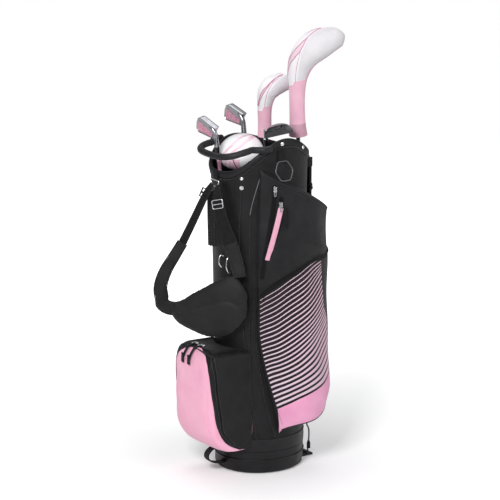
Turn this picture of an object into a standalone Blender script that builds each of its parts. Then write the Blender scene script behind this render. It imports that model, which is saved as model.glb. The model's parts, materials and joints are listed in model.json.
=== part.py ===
"""Stand bag with six golf clubs, modelled piece by piece in metres, +Z up.

+X is the side of the two folding legs, -X the spine side with the shoulder straps
and the ball pocket, -Y the side of the long apparel pocket.  The origin is on the
floor, below the centre of the boot.
"""
import math

import bmesh
import bpy
from mathutils import Matrix, Vector
from mathutils.bvhtree import BVHTree

# ---------------------------------------------------------------- driving dimensions
GAP = 0.0003                    # clearance between pieces that touch
SEAT_REACH = 0.03               # how far off a piece may start before it is set down

# boot: the moulded foot of the bag
BOOT_X = 0.113                  # half length along X
BOOT_Y = 0.107                  # half width along Y
BOOT_HEIGHT = 0.058
BOOT_FLOOR = 0.030              # top of the floor that the grips stand on
BOOT_WALL = 0.005
BOOT_EDGE = 0.009               # rounding of the sole's edge
TILT_HINGE_X = 0.045            # where the tilting foot plate is hinged
TILT_ANGLE = 13.0               # degrees between the sole and the bevelled leg side
PLATE_THICKNESS = 0.005

# fabric body and top collar
BODY_TOP_X = 0.124              # half length of the body at COLLAR_LOW
BODY_TOP_Y = 0.112
BODY_WALL = 0.002
COLLAR_LOW = 0.775              # height of the rim's low lip, on the spine side
SHOULDER_NEAR = 0.084           # rise of the rim's shoulder on the pocket side
SHOULDER_FAR = 0.054            # rise of the opposite shoulder
LEG_RISE = 0.026                # rise of the rim on the leg side
COLLAR_BAND = 0.018             # height of the collar's outer band
COLLAR_WALL = 0.0045            # how far the band stands out from the body
COLLAR_INNER = 0.004            # how far its lip reaches inwards
STAY_WIDTH = 0.022
STAY_THICKNESS = 0.003

# club divider
DIVIDER_Z = 0.728
DIVIDER_HEIGHT = 0.022
DIVIDER_RING = 0.003
DIVIDER_BAR = 0.010
LONG_BAR_Y = -0.014
IRON_BAR_X = -0.025
PUTTER_BAR_X = 0.035

# carry handle at the rim
HANDLE_RADIUS = 0.0085
HANDLE_REACH = 0.098            # from its springing to its tip
HANDLE_HALF = 0.090             # half width of the loop
HANDLE_ROOT_X = -0.052
HANDLE_ROOTS = (108.0, 114.0, 120.0)     # degrees round the rim of its springing
HANDLE_FAR_SHIFT = 7.0          # the far end springs this much nearer the legs
HANDLE_NEAR_RISE = (-0.006, -0.007, -0.008)     # heights over the rim at the root
HANDLE_FAR_RISE = (-0.007, -0.005, -0.003)
HANDLE_TIP_Z = 0.820

# legs
LEG_RADIUS = 0.007
LEG_ANGLE = 12.0                # degrees round the body from +X to each leg
LEG_TOP = 0.768                 # height of the hinge pin
LEG_BOTTOM = 0.120
LEG_HEAD = 0.0045               # the tube ends this far above its pin
LEG_ROOM = 1.25                 # the bracket's back stands this many leg radii off the pin
PIN_RADIUS = 0.0025
BRACKET_WALL = 0.004
BRACKET_HEIGHT = 0.024
FOOT_RADIUS = 0.0105
FOOT_HEIGHT = 0.024
WIRE_RADIUS = 0.002
WIRE_TOP = 0.330
WIRE_Y = 0.036
WIRE_GAP = 0.0075               # from the boot to the wire's middle
WIRE_BULGE = 0.0085             # how far the wire bows out above the foot plate

# pockets
POCKET_DEPTH = 0.053
POCKET_BACK = 0.0008            # off the body, so that the flat facets stay clear
POCKET_LEFT = -127.0            # degrees round the body
POCKET_RIGHT = -31.0
POCKET_TOP = 0.786
POCKET_TOP_DROP = 0.128         # how much lower the top edge ends on the leg side
POCKET_BOTTOM = 0.104
BALL_WIDTH = 0.158
BALL_REACH = 0.207              # from the bag's axis to the pocket's face
BALL_BOTTOM = 0.070
BALL_TOP = 0.330

# zips
SLIDER_LENGTH = 0.012
UPPER_ZIP = (0.175, 0.955)      # across and up the apparel pocket
RIBBON_ZIP = (0.235, 0.905)
PULL_LIFT = 0.0026              # a soft pull stands this far off the pocket
SIDE_LIFT = 0.0045
BALL_ZIP_X = -0.168

# webbing, rings and pads
WEB_WIDTH = 0.021
WEB_THICKNESS = 0.0022
PAD_THICKNESS = 0.013
PAD_BELLY = 0.012
PAD_STEPS = 16
PAD_OUT = Vector((-0.79, -0.61, 0.0))
RING_WIRE = 0.0016
TOWEL_RING_HALF = 0.0245
TOWEL_RING_TILT = 20.0          # degrees; the ring leans out over the pocket's top edge
D_RING_HALF = 0.017
D_RING_WIRE = 0.0018
LADDER_LENGTH = 0.024
LOOP_REACH = 0.047              # the grab loop beside the boot
LOOP_Z = 0.0425
LOOP_HALF = 0.0235

# clubs
GRIP_LENGTH = 0.265
GRIP_BUTT = 0.0125
GRIP_MOUTH = 0.0095
SHAFT_BUTT = 0.0070
SHAFT_TIP = 0.0045
HOSEL_RADIUS = 0.0065
WOOD_NECK = 0.024               # hosel of a wood, below its head
IRON_BLADE = 0.064              # heel to toe
IRON_HEEL = 0.034               # blade heights at the heel and at the toe
IRON_TOE = 0.050
IRON_TOP = 0.010                # the sole's height over the hosel's bend
IRON_NECK = 0.034               # straight stretch of an iron's hosel
PUTTER_HALF = 0.037             # half width of the putter's head
PUTTER_DEPTH = 0.050
PUTTER_THICK = 0.026
COVER_WALL = 0.0035
SLEEVE_RADIUS = 0.0195          # a cover is as deep as it is wide up to this half width
COVER_DEPTH = 0.9               # share of any extra width that is added to the depth

AROUND = 56                     # steps round the oval of the bag
ACROSS_Y = (0.0, 1.0, 0.0)

# ---------------------------------------------------------------- set up
for old in list(bpy.data.objects):
    bpy.data.objects.remove(old, do_unlink=True)


def new_collection(name):
    """A collection linked to the scene."""
    made = bpy.data.collections.new(name)
    bpy.context.scene.collection.children.link(made)
    return made


PARTS = new_collection("golf_stand_bag_set")
CUTTERS = new_collection("cutters")


def material(name, colour, roughness, metallic=0.0):
    """A Principled material with one plain colour."""
    made = bpy.data.materials.new(name)
    made.use_nodes = True
    shader = made.node_tree.nodes["Principled BSDF"]
    shader.inputs["Base Color"].default_value = (*colour, 1.0)
    shader.inputs["Roughness"].default_value = roughness
    shader.inputs["Metallic"].default_value = metallic
    return made


# looks: colour, roughness and, for metals, how metallic
BLACK = (0.012, 0.012, 0.014)
PINK = (0.82, 0.30, 0.46)
WHITE = (0.80, 0.80, 0.82)
CHROME = (0.62, 0.63, 0.65)
GREY = (0.05, 0.05, 0.055)
MOULDED = (BLACK, 0.45)
RUBBER = (BLACK, 0.75)
WEBBING = (BLACK, 0.85)
PADDING = (BLACK, 0.65)
PINK_FABRIC = (PINK, 0.6)
BRIGHT_METAL = (CHROME, 0.25, 1.0)
DARK_METAL = (GREY, 0.3, 0.7)
GRAPHITE = (GREY, 0.3)


# ---------------------------------------------------------------- modelling helpers
def finish(name, mesh, look, smooth=35.0):
    """Wrap a mesh in a named object with a material of its own."""
    mesh.name = name
    mesh.materials.clear()
    mesh.materials.append(material(name, *look))
    mesh.shade_smooth()
    mesh.set_sharp_from_angle(angle=math.radians(smooth))
    made = bpy.data.objects.new(name, mesh)
    PARTS.objects.link(made)
    return made


def mesh_from(bm, name):
    """Turn a bmesh into a mesh with its faces pointing out."""
    bm.normal_update()
    bmesh.ops.recalc_face_normals(bm, faces=bm.faces)
    mesh = bpy.data.meshes.new(name)
    bm.to_mesh(mesh)
    bm.free()
    return mesh


def block_mesh(name, cuts, place):
    """A cube cut into (u, v, w) steps whose corners are moved by place(u, v, w)."""
    bm = bmesh.new()
    bmesh.ops.create_cube(bm, size=1.0)
    for axis, count in enumerate(cuts):
        full = [e for e in bm.edges
                if abs(e.verts[0].co[axis] - e.verts[1].co[axis]) > 0.999]
        if count:
            bmesh.ops.subdivide_edges(bm, edges=full, cuts=count, use_grid_fill=True)
    for corner in bm.verts:
        corner.co = place(*(value + 0.5 for value in corner.co))
    return mesh_from(bm, name)


def loft_mesh(name, rings, cap_start=False, cap_end=False, closed=False):
    """Faces between rings of equal count, with the ends capped, open or joined."""
    bm = bmesh.new()
    rows = [[bm.verts.new(point) for point in ring] for ring in rings]
    pairs = list(zip(rows, rows[1:]))
    if closed:
        pairs.append((rows[-1], rows[0]))
    for lower, upper in pairs:
        for i in range(len(lower)):
            j = (i + 1) % len(lower)
            bm.faces.new((lower[i], lower[j], upper[j], upper[i]))
    if cap_start:
        bm.faces.new(rows[0])
    if cap_end:
        bm.faces.new(rows[-1])
    return mesh_from(bm, name)


def rod_mesh(name, start, end, radius_start, radius_end, sides=16):
    """A round rod or cone between two points."""
    start = Vector(start)
    end = Vector(end)
    bm = bmesh.new()
    bmesh.ops.create_cone(bm, cap_ends=True, segments=sides, radius1=radius_start,
                          radius2=radius_end, depth=(end - start).length)
    turn = (end - start).to_track_quat("Z", "Y").to_matrix().to_4x4()
    bm.transform(Matrix.Translation((start + end) / 2) @ turn)
    return mesh_from(bm, name)


def tube_mesh(name, points, radius, cyclic=False, resolution=2):
    """A round tube along a poly line, with its caps welded."""
    curve = bpy.data.curves.new(name, "CURVE")
    curve.dimensions = "3D"
    curve.bevel_depth = radius
    curve.bevel_resolution = resolution
    curve.use_fill_caps = True
    spline = curve.splines.new("POLY")
    spline.points.add(len(points) - 1)
    for target, point in zip(spline.points, points):
        target.co = (*point, 1.0)
    spline.use_cyclic_u = cyclic
    return settle_curve(name, curve)


def outline_mesh(name, outlines, thickness):
    """A flat plate from closed outlines in its own XY plane, holes included."""
    curve = bpy.data.curves.new(name, "CURVE")
    curve.dimensions = "2D"
    curve.fill_mode = "BOTH"
    curve.extrude = thickness / 2
    for outline in outlines:
        spline = curve.splines.new("POLY")
        spline.points.add(len(outline) - 1)
        for target, (x, y) in zip(spline.points, outline):
            target.co = (x, y, 0.0, 1.0)
        spline.use_cyclic_u = True
    return settle_curve(name, curve)


def settle_curve(name, curve):
    """Turn a curve into a closed mesh and remove the curve."""
    guide = bpy.data.objects.new(name + "_guide", curve)
    bpy.context.scene.collection.objects.link(guide)
    evaluated = guide.evaluated_get(bpy.context.evaluated_depsgraph_get())
    mesh = bpy.data.meshes.new_from_object(evaluated)
    bpy.data.objects.remove(guide, do_unlink=True)
    bpy.data.curves.remove(curve)
    bm = bmesh.new()
    bm.from_mesh(mesh)
    bmesh.ops.remove_doubles(bm, verts=bm.verts, dist=0.00001)
    bmesh.ops.recalc_face_normals(bm, faces=bm.faces)
    bm.to_mesh(mesh)
    bm.free()
    return mesh


def combine(target, mesh, operation, place=(0.0, 0.0, 0.0)):
    """A Boolean of target with a helper mesh at a place, kept as a modifier."""
    helper = bpy.data.objects.new(f"{target.name}_helper", mesh)
    helper.location = place
    CUTTERS.objects.link(helper)
    helper.hide_render = True
    helper.display_type = "WIRE"
    step = target.modifiers.new(operation.title(), "BOOLEAN")
    step.operation = operation
    step.object = helper


def thicken(target, thickness, offset):
    """Give an open surface a wall with Solidify."""
    wall = target.modifiers.new("Wall", "SOLIDIFY")
    wall.thickness = thickness
    wall.offset = offset
    wall.use_even_offset = True


def seat(piece, ground, outward):
    """Slide a small piece along outward until it rests GAP above the ground piece."""
    outward = Vector(outward).normalized()
    tree = BVHTree.FromObject(ground, bpy.context.evaluated_depsgraph_get())
    back = ground.matrix_world.inverted()
    reach = outward * SEAT_REACH
    rooms = []
    for face in piece.data.polygons:
        corners = [piece.location + piece.data.vertices[i].co for i in face.vertices]
        middle = sum(corners, Vector()) / len(corners)
        for share in (0.0, 0.5, 1.0):
            for corner in corners:
                hit = tree.ray_cast(back @ (middle.lerp(corner, share) + reach), -outward)
                if hit[0] is not None:
                    rooms.append(hit[3] - SEAT_REACH)
    piece.location -= outward * (min(rooms) - 1.5 * GAP)


def smooth_path(points, count):
    """Evenly numbered points on a smooth curve through the given points."""
    route = [Vector(point) for point in points]
    route = [2 * route[0] - route[1], *route, 2 * route[-1] - route[-2]]
    spans = len(route) - 3
    path = []
    for step in range(count + 1):
        place = min(step * spans / count, spans - 1e-9)
        i = int(place)
        t = place - i
        a, b, c, d = route[i:i + 4]
        path.append(0.5 * (2 * b + (c - a) * t + (2 * a - 5 * b + 4 * c - d) * t ** 2
                           + (3 * b - a - 3 * c + d) * t ** 3))
    return path


def strap_mesh(name, points, across_start, across_end, width, thickness, steps):
    """A flat strap of webbing or padding along a smooth route."""
    path = smooth_path(points, steps)

    def place(u, v, w):
        i = round(u * steps)
        along = (path[min(i + 1, steps)] - path[max(i - 1, 0)]).normalized()
        across = Vector(across_start).lerp(Vector(across_end), u)
        across = (across - along * across.dot(along)).normalized()
        out = along.cross(across)
        span = width(u) if callable(width) else width
        return path[i] + across * (v - 0.5) * span + out * (w - 0.5) * thickness

    return block_mesh(name, (steps - 1, 0, 0), place)


# ---------------------------------------------------------------- the bag's oval
def body_axes(z):
    """Half length and half width of the fabric body at a height."""
    share = (z - BOOT_HEIGHT) / (COLLAR_LOW - BOOT_HEIGHT)
    return (BOOT_X + (BODY_TOP_X - BOOT_X) * share,
            BOOT_Y - 0.001 + (BODY_TOP_Y - BOOT_Y) * share)


def oval_point(angle, z, out=0.0):
    """A point at an angle in degrees round the body, moved out along the normal."""
    a, b = body_axes(z)
    turn = math.radians(angle)
    normal = Vector((math.cos(turn) / a, math.sin(turn) / b, 0.0)).normalized()
    return Vector((a * math.cos(turn), b * math.sin(turn), z)) + normal * out


def oval_normal(angle, z=COLLAR_LOW):
    """The outward horizontal normal of the body at an angle."""
    return (oval_point(angle, z, 1.0) - oval_point(angle, z)).normalized()


def oval_ring(height, out):
    """A ring round the body: height and out may depend on the angle."""
    ring = []
    for step in range(AROUND):
        angle = 360.0 * step / AROUND
        z = height(angle) if callable(height) else height
        ring.append(oval_point(angle, z, out))
    return ring


def rim(angle):
    """Height of the collar's rim: low on the spine, a shoulder on each flank."""
    turn = math.radians(angle)
    near = max(0.0, -math.sin(turn)) ** 3
    far = max(0.0, math.sin(turn)) ** 3
    leg = max(0.0, math.cos(turn)) ** 2
    return COLLAR_LOW + SHOULDER_NEAR * near + SHOULDER_FAR * far + LEG_RISE * leg


# ---------------------------------------------------------------- boot and body
def make_boot():
    """The moulded boot: a cup with a thick floor, bevelled on the leg side."""
    def ring(z, out):
        return [Vector((math.cos(t) * (BOOT_X + out), math.sin(t) * (BOOT_Y + out), z))
                for t in (2 * math.pi * i / AROUND for i in range(AROUND))]

    rings = [ring(0.0, -BOOT_EDGE), ring(BOOT_EDGE * 0.3, -BOOT_EDGE * 0.3),
             ring(BOOT_EDGE, 0.0), ring(BOOT_HEIGHT, 0.0),
             ring(BOOT_HEIGHT, -BOOT_WALL), ring(BOOT_FLOOR, -BOOT_WALL)]
    boot = finish("bag_base", loft_mesh("bag_base", rings, True, True), MOULDED)
    slope = math.tan(math.radians(TILT_ANGLE))
    reach = BOOT_X * 1.2 - TILT_HINGE_X
    room = PLATE_THICKNESS + 3 * GAP

    def wedge(u, v, w):
        x = TILT_HINGE_X + u * reach
        top = room + (x - TILT_HINGE_X) * slope
        low = -0.01
        return Vector((x, (v - 0.5) * 3 * BOOT_Y, low + w * (top - low)))

    combine(boot, block_mesh("bevel", (0, 0, 0), wedge), "DIFFERENCE")


def plate_edge(x):
    """Half width of the foot plate at an x."""
    half = BOOT_X + GAP
    return (BOOT_Y - BOOT_EDGE) * math.sqrt(max(0.0, 1 - (x / half) ** 2))


def make_foot_plate():
    """The flat plate under the bevel that tilts when the bag leans on its legs."""
    start = TILT_HINGE_X + 2 * GAP
    nose = BOOT_X + WIRE_GAP + WIRE_BULGE + 5 * WIRE_RADIUS
    reach = BOOT_X - 0.012
    steps = 10
    near = []
    for i in range(steps + 1):
        x = start + (reach - start) * i / steps
        near.append((x, plate_edge(x)))
    tip = [(reach, WIRE_Y + 2 * WIRE_RADIUS), (nose, WIRE_Y + 2 * WIRE_RADIUS)]
    half = near + tip
    outline = half + [(x, -y) for x, y in reversed(half)]
    mesh = outline_mesh("stand_foot_plate", [outline], PLATE_THICKNESS)
    lift = PLATE_THICKNESS / 2 + GAP
    hinge = Vector((TILT_HINGE_X, 0.0, lift))
    mesh.transform(Matrix.Translation((-TILT_HINGE_X, 0.0, 0.0)))
    plate = finish("stand_foot_plate", mesh, MOULDED)
    plate.location = hinge


def make_body():
    """The fabric tube between the boot and the collar."""
    def top(angle):
        return rim(angle) - COLLAR_BAND - GAP

    rings = [oval_ring(BOOT_HEIGHT + GAP, 0.0), oval_ring(top, 0.0)]
    body = finish("bag_body", loft_mesh("bag_body", rings), WEBBING)
    thicken(body, BODY_WALL, -1.0)


def make_stays():
    """Two flat stays inside the body that hold the collar above the boot."""
    for name, side in (("body_stay_near", -1.0), ("body_stay_far", 1.0)):
        def place(u, v, w, side=side):
            z = BOOT_FLOOR + GAP + u * (DIVIDER_Z - BOOT_FLOOR - 2 * GAP)
            inset = BODY_WALL + GAP + w * STAY_THICKNESS
            if z < BOOT_HEIGHT + 0.01:
                inset = BOOT_WALL + GAP + w * STAY_THICKNESS
            angle = 90.0 * side + math.degrees((v - 0.5) * STAY_WIDTH / BODY_TOP_X)
            return oval_point(angle, z, -inset - 0.001)
        finish(name, block_mesh(name, (12, 3, 0), place), MOULDED)


def make_collar():
    """The moulded collar: a rounded band that follows the rim."""
    def section(out, rise):
        return oval_ring(lambda angle: rim(angle) + rise, out)

    outer = COLLAR_WALL
    inner = -BODY_WALL - COLLAR_INNER
    rings = [section(inner, -COLLAR_BAND), section(0.0, -COLLAR_BAND),
             section(outer * 0.8, -COLLAR_BAND * 0.75), section(outer, -COLLAR_BAND * 0.3),
             section(outer * 0.55, 0.0), section(-outer * 0.4, 0.001),
             section(inner, -COLLAR_BAND * 0.3)]
    finish("top_collar", loft_mesh("top_collar", rings, closed=True), MOULDED, 60.0)


def make_divider():
    """The four-way divider: a thin oval ring with one long and two short bars."""
    inset = BODY_WALL + GAP
    top = DIVIDER_Z + DIVIDER_HEIGHT
    rings = [oval_ring(DIVIDER_Z, -inset), oval_ring(top, -inset),
             oval_ring(top, -inset - DIVIDER_RING), oval_ring(DIVIDER_Z, -inset - DIVIDER_RING)]
    divider = finish("club_divider", loft_mesh("club_divider", rings, closed=True), MOULDED)
    middle = DIVIDER_Z + DIVIDER_HEIGHT / 2
    a, b = body_axes(middle)
    edge = inset + DIVIDER_RING / 2
    half_bar = DIVIDER_BAR / 2

    def bar(low, high):
        def place(u, v, w):
            return Vector((low[0] + u * (high[0] - low[0]), low[1] + v * (high[1] - low[1]),
                           DIVIDER_Z + 0.001 + w * (DIVIDER_HEIGHT - 0.002)))
        return block_mesh("bar", (0, 0, 0), place)

    def wall_x(y):
        return a * math.sqrt(1 - (y / b) ** 2) - edge

    def wall_y(x):
        return b * math.sqrt(1 - (x / a) ** 2) - edge

    long_end = wall_x(abs(LONG_BAR_Y) + half_bar)
    combine(divider, bar((-long_end, LONG_BAR_Y - half_bar), (long_end, LONG_BAR_Y + half_bar)),
            "UNION")
    iron_end = wall_y(abs(IRON_BAR_X) + half_bar)
    combine(divider, bar((IRON_BAR_X - half_bar, LONG_BAR_Y), (IRON_BAR_X + half_bar, iron_end)),
            "UNION")
    putter_end = wall_y(abs(PUTTER_BAR_X) + half_bar)
    combine(divider, bar((PUTTER_BAR_X - half_bar, -putter_end),
                         (PUTTER_BAR_X + half_bar, LONG_BAR_Y)), "UNION")


def make_handle():
    """The moulded lift handle: a loop from one shoulder of the collar to the other."""
    steps = 30
    clear = COLLAR_WALL + HANDLE_RADIUS + GAP
    near = [oval_point(angle, rim(-HANDLE_ROOTS[0]) + rise, clear)
            for angle, rise in zip((-turn for turn in HANDLE_ROOTS), HANDLE_NEAR_RISE)]
    far = [oval_point(angle - HANDLE_FAR_SHIFT, rim(HANDLE_ROOTS[0] - HANDLE_FAR_SHIFT) + rise,
                      clear)
           for angle, rise in zip(HANDLE_ROOTS, HANDLE_FAR_RISE)]
    path = list(near)
    for i in range(2, steps - 1):
        turn = math.pi * i / steps - math.pi / 2
        bulge = abs(math.cos(turn)) ** 0.8
        x = HANDLE_ROOT_X - HANDLE_REACH * bulge
        y = HANDLE_HALF * math.copysign(abs(math.sin(turn)) ** 0.8, turn)
        share = abs(math.sin(turn)) ** 4
        side = near[-1].z if turn < 0 else far[-1].z
        path.append(Vector((x, y, HANDLE_TIP_Z + (side - HANDLE_TIP_Z) * share)))
    path += reversed(far)
    path = smooth_path(path, 40)
    finish("carry_handle", tube_mesh("carry_handle", path, HANDLE_RADIUS), RUBBER, 60.0)


# ---------------------------------------------------------------- pockets
def pocket_left(v):
    """Left edge of the apparel pocket, which moves in towards its foot."""
    return POCKET_LEFT + 30.0 * max(0.0, 1 - v / 0.4) ** 1.4 + 6.0 * v ** 3


def pocket_place(u, v, w):
    """A point of the apparel pocket: round, up and outwards from 0 to 1."""
    left = pocket_left(v)
    angle = left + (POCKET_RIGHT - left) * u
    low = POCKET_BOTTOM + 0.040 * u ** 0.5 + 0.045 * u ** 8
    high = POCKET_TOP - POCKET_TOP_DROP * u ** 1.15
    z = low + (high - low) * v
    rise = min(1.0, 0.18 + 1.9 * u)
    crown = 0.30 + 0.70 * max(u, min(1.0, (1 - v) / 0.22)) ** 0.7
    foot = 0.80 + 0.20 * min(1.0, v / 0.08) ** 0.6
    corner = 1.0 - 0.35 * max(0.0, (u - 0.9) / 0.1) ** 2
    full = 1.0 + 0.25 * (1 - v) ** 2
    depth = POCKET_DEPTH * rise * crown * foot * corner * full
    return oval_point(angle, z, POCKET_BACK + w * depth)


def make_apparel_pocket():
    """The long apparel pocket, wrapped round the near flank."""
    finish("apparel_pocket", block_mesh("apparel_pocket", (13, 12, 0), pocket_place),
           PINK_FABRIC, 60.0)


def ball_place(u, v, w):
    """A point of the ball pocket: across, up and outwards from 0 to 1."""
    z = BALL_BOTTOM + (BALL_TOP - BALL_BOTTOM) * v
    side = 2 * u - 1
    y = side * BALL_WIDTH / 2
    a, b = body_axes(z)
    back = a * math.sqrt(1 - (y / b) ** 2) + 0.001
    foot = 0.062 * (1 - math.sqrt(1 - max(0.0, 1 - v / 0.36) ** 2))
    crown = 0.022 * max(0.0, (v - 0.84) / 0.16) ** 2
    edge = 0.014 * abs(side) ** 6
    front = BALL_REACH - foot - crown - edge
    return Vector((-back - (front - back) * w, y, z))


def make_ball_pocket():
    """The ball pocket low on the spine side, with a rounded foot."""
    finish("ball_pocket", block_mesh("ball_pocket", (9, 10, 0), ball_place),
           PINK_FABRIC, 60.0)


def pull_tab(name, top, along, length, width, thickness, outward, look):
    """A pull: a thin tab, wider at its foot, that hangs down against along."""
    along = Vector(along).normalized()
    out = Vector(outward)
    out = (out - along * out.dot(along)).normalized()
    across = out.cross(along)

    def place(u, v, w):
        spread = width * (0.7 + 0.3 * u)
        return across * (v - 0.5) * spread + out * (w - 0.5) * thickness - along * u * length

    tab = finish(name, block_mesh(name, (1, 0, 0), place), look)
    tab.location = top
    return tab


def zip_slider(name, centre, along, outward, look):
    """A zip slider: a small rounded shuttle on the zip's line."""
    along = Vector(along).normalized()
    out = Vector(outward)
    out = (out - along * out.dot(along)).normalized()
    across = along.cross(out)

    def place(u, v, w):
        waist = 0.0035 + 0.0015 * abs(2 * u - 1)
        return along * (u - 0.5) * SLIDER_LENGTH + across * (2 * v - 1) * waist + out * w * 0.0035

    slider = finish(name, block_mesh(name, (2, 0, 0), place), look)
    slider.location = centre
    return slider


def circle_through(first, second, third):
    """Centre and unit normal of the circle through three points."""
    along = second - first
    other = third - first
    normal = along.cross(other)
    centre = first + (other.cross(normal) * along.length_squared
                      + normal.cross(along) * other.length_squared) / -(2 * normal.length_squared)
    return centre, normal.normalized()


def pocket_frame(u, v):
    """A point on the pocket's face with its upward and outward directions."""
    step = 0.01
    point = pocket_place(u, v, 1.0)
    up = (pocket_place(u, v + step, 1.0) - pocket_place(u, v - step, 1.0)).normalized()
    across = pocket_place(u + step, v, 1.0) - pocket_place(u - step, v, 1.0)
    return point, up, across.cross(up).normalized()


def face_strap(name, track, width, thickness, steps, look):
    """A strap laid over the pocket's face along (u, v) points, standing a little off it."""
    route = []
    for u, v in track:
        point, up, out = pocket_frame(u, v)
        route.append(point + out * (PULL_LIFT + thickness / 2))
    across = Vector((-pocket_frame(*track[0])[2].y, pocket_frame(*track[0])[2].x, 0.0))
    return finish(name, strap_mesh(name, route, across, across, width, thickness, steps), look)


def side_zip_path():
    """Three points along the zip that runs round the pocket below its upper panel."""
    path = []
    for u, v in ((0.97, 0.79), (0.88, 0.755), (0.79, 0.72)):
        point, up, out = pocket_frame(u, v)
        path.append(point + out * SIDE_LIFT)
    return path


def make_zip_parts():
    """Sliders and pulls of the zips; the side slider turns about its curved zip's centre."""
    pocket = bpy.data.objects["apparel_pocket"]
    for name, place in (("upper_zip_slider", UPPER_ZIP), ("ribbon_zip_slider", RIBBON_ZIP)):
        point, up, out = pocket_frame(*place)
        slider = zip_slider(name, point + out * SLIDER_LENGTH, up, out, BRIGHT_METAL)
        seat(slider, pocket, out)
    u, v = RIBBON_ZIP
    ribbon = [(u - 0.020 * i, v - 0.012 - 0.036 * i) for i in range(7)]
    face_strap("ribbon_pull", ribbon, 0.013, 0.0014, 12, PINK_FABRIC)
    cord = [(u + 0.045, v - 0.004 - 0.026 * i) for i in range(4)]
    face_strap("cord_pull", cord, 0.009, 0.003, 6, WEBBING)
    path = side_zip_path()
    centre, normal = circle_through(*path)
    side_out = (path[0] - centre).normalized()
    side = zip_slider("side_zip_slider", path[0], normal.cross(side_out), side_out, BRIGHT_METAL)
    hang = path[0] - Vector((0.0, 0.0, SLIDER_LENGTH * 0.57)) + side_out * 0.002
    pull = pull_tab("side_zip_pull", hang, (0.0, 0.0, 1.0), 0.040, 0.008, 0.003, side_out,
                    WEBBING)
    for piece in (side, pull):
        piece.data.transform(Matrix.Translation(piece.location - centre))
        piece.location = centre
    top = BALL_TOP + GAP
    for word, y in (("near", 0.004), ("far", 0.030)):
        zip_slider("ball_zip_slider_" + word, (BALL_ZIP_X, y, top), ACROSS_Y, (0.0, 0.0, 1.0),
                   BRIGHT_METAL)
        route = [(BALL_ZIP_X - 0.0050, y, top + 0.002), (-0.1860, y, top + 0.0022),
                 (-0.1990, y - 0.001, top - 0.006), (-0.2105, y - 0.002, top - 0.025),
                 (-0.2110, y - 0.003, top - 0.040)]
        mesh = strap_mesh("pull", route, ACROSS_Y, ACROSS_Y, 0.007, 0.0025, 10)
        finish("ball_zip_pull_" + word, mesh, WEBBING)


# ---------------------------------------------------------------- rings, straps, pads
def make_towel_ring():
    """Webbing tab on the near shoulder and the ring that hangs from it."""
    angle = -95.0
    top = rim(angle) - COLLAR_BAND - 0.004
    drop = 0.028
    out = oval_normal(angle)
    across = Vector((-out.y, out.x, 0.0))

    def tab(u, v, w):
        z = top - u * drop
        place = oval_point(angle, z, GAP + w * 0.003 + (0.0035 if u > 0.99 else 0.0) * w)
        return place + across * (v - 0.5) * WEB_WIDTH

    finish("towel_tab", block_mesh("towel_tab", (1, 0, 0), tab), WEBBING)
    hinge = oval_point(angle, top - drop - RING_WIRE - GAP, 0.0036 + RING_WIRE)
    lean = Matrix.Rotation(math.radians(-TOWEL_RING_TILT), 3, across)
    corners = []
    for i in range(24):
        turn = math.pi / 2 + 2 * math.pi * i / 24
        x = TOWEL_RING_HALF * 1.03 * math.cos(turn)
        z = TOWEL_RING_HALF * (math.sin(turn) - 1.0) * 1.02
        corners.append(lean @ (across * x + Vector((0.0, 0.0, z))))
    ring = finish("towel_ring", tube_mesh("towel_ring", corners, RING_WIRE, True, 2),
                  DARK_METAL, 60.0)
    ring.location = hinge


SPINE_LOW = COLLAR_LOW - 0.021     # foot of the tab that holds the D-ring
STRAP_FACE = (0.8, -0.6, 0.0)     # the far strap twists its face towards the near side


def make_spine_ring():
    """D-ring on the spine below the rim, with its webbing tab."""
    def tab(u, v, w):
        z = SPINE_LOW + 0.016 * (1 - u)
        out = COLLAR_WALL + GAP + w * 0.0028
        return oval_point(180.0, z, out) + Vector((0.0, (v - 0.5) * 0.018, 0.0))

    tab_piece = finish("d_ring_tab", block_mesh("d_ring_tab", (0, 0, 0), tab), WEBBING)
    points = []
    for i in range(21):
        turn = math.radians(-90 + 180 * i / 20)
        points.append(Vector((0.0, D_RING_HALF * math.sin(turn),
                              -D_RING_HALF * 0.95 * math.cos(turn))))
    ring = finish("spine_d_ring", tube_mesh("spine_d_ring", points, D_RING_WIRE, True),
                  BRIGHT_METAL, 60.0)
    ring.location = (-BODY_TOP_X - COLLAR_WALL - 2 * D_RING_WIRE, 0.0,
                     SPINE_LOW - 2 * D_RING_WIRE)
    seat(ring, tab_piece, (0.0, 0.0, -1.0))


def make_buckle(name, strap, centre, along, across, size, look):
    """A ladder lock or triglide: a flat frame with two slots, set down on its strap."""
    along = Vector(along).normalized()
    across = Vector(across)
    across = (across - along * across.dot(along)).normalized()
    out = along.cross(across)
    half_x = size / 2
    half_y = LADDER_LENGTH / 2
    slot_x = half_x - 0.003
    slot_y = 0.0035

    def rectangle(cx, cy, hx, hy):
        return [(cx - hx, cy - hy), (cx + hx, cy - hy), (cx + hx, cy + hy), (cx - hx, cy + hy)]

    outlines = [rectangle(0.0, 0.0, half_x, half_y),
                rectangle(0.0, half_y / 2, slot_x, slot_y),
                rectangle(0.0, -half_y / 2, slot_x, slot_y)]
    mesh = outline_mesh(name, outlines, 0.0026)
    turn = Matrix((across, along, across.cross(along))).transposed().to_4x4()
    mesh.transform(turn)
    buckle = finish(name, mesh, look)
    buckle.location = centre + out * LADDER_LENGTH / 2
    seat(buckle, strap, out)


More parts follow.
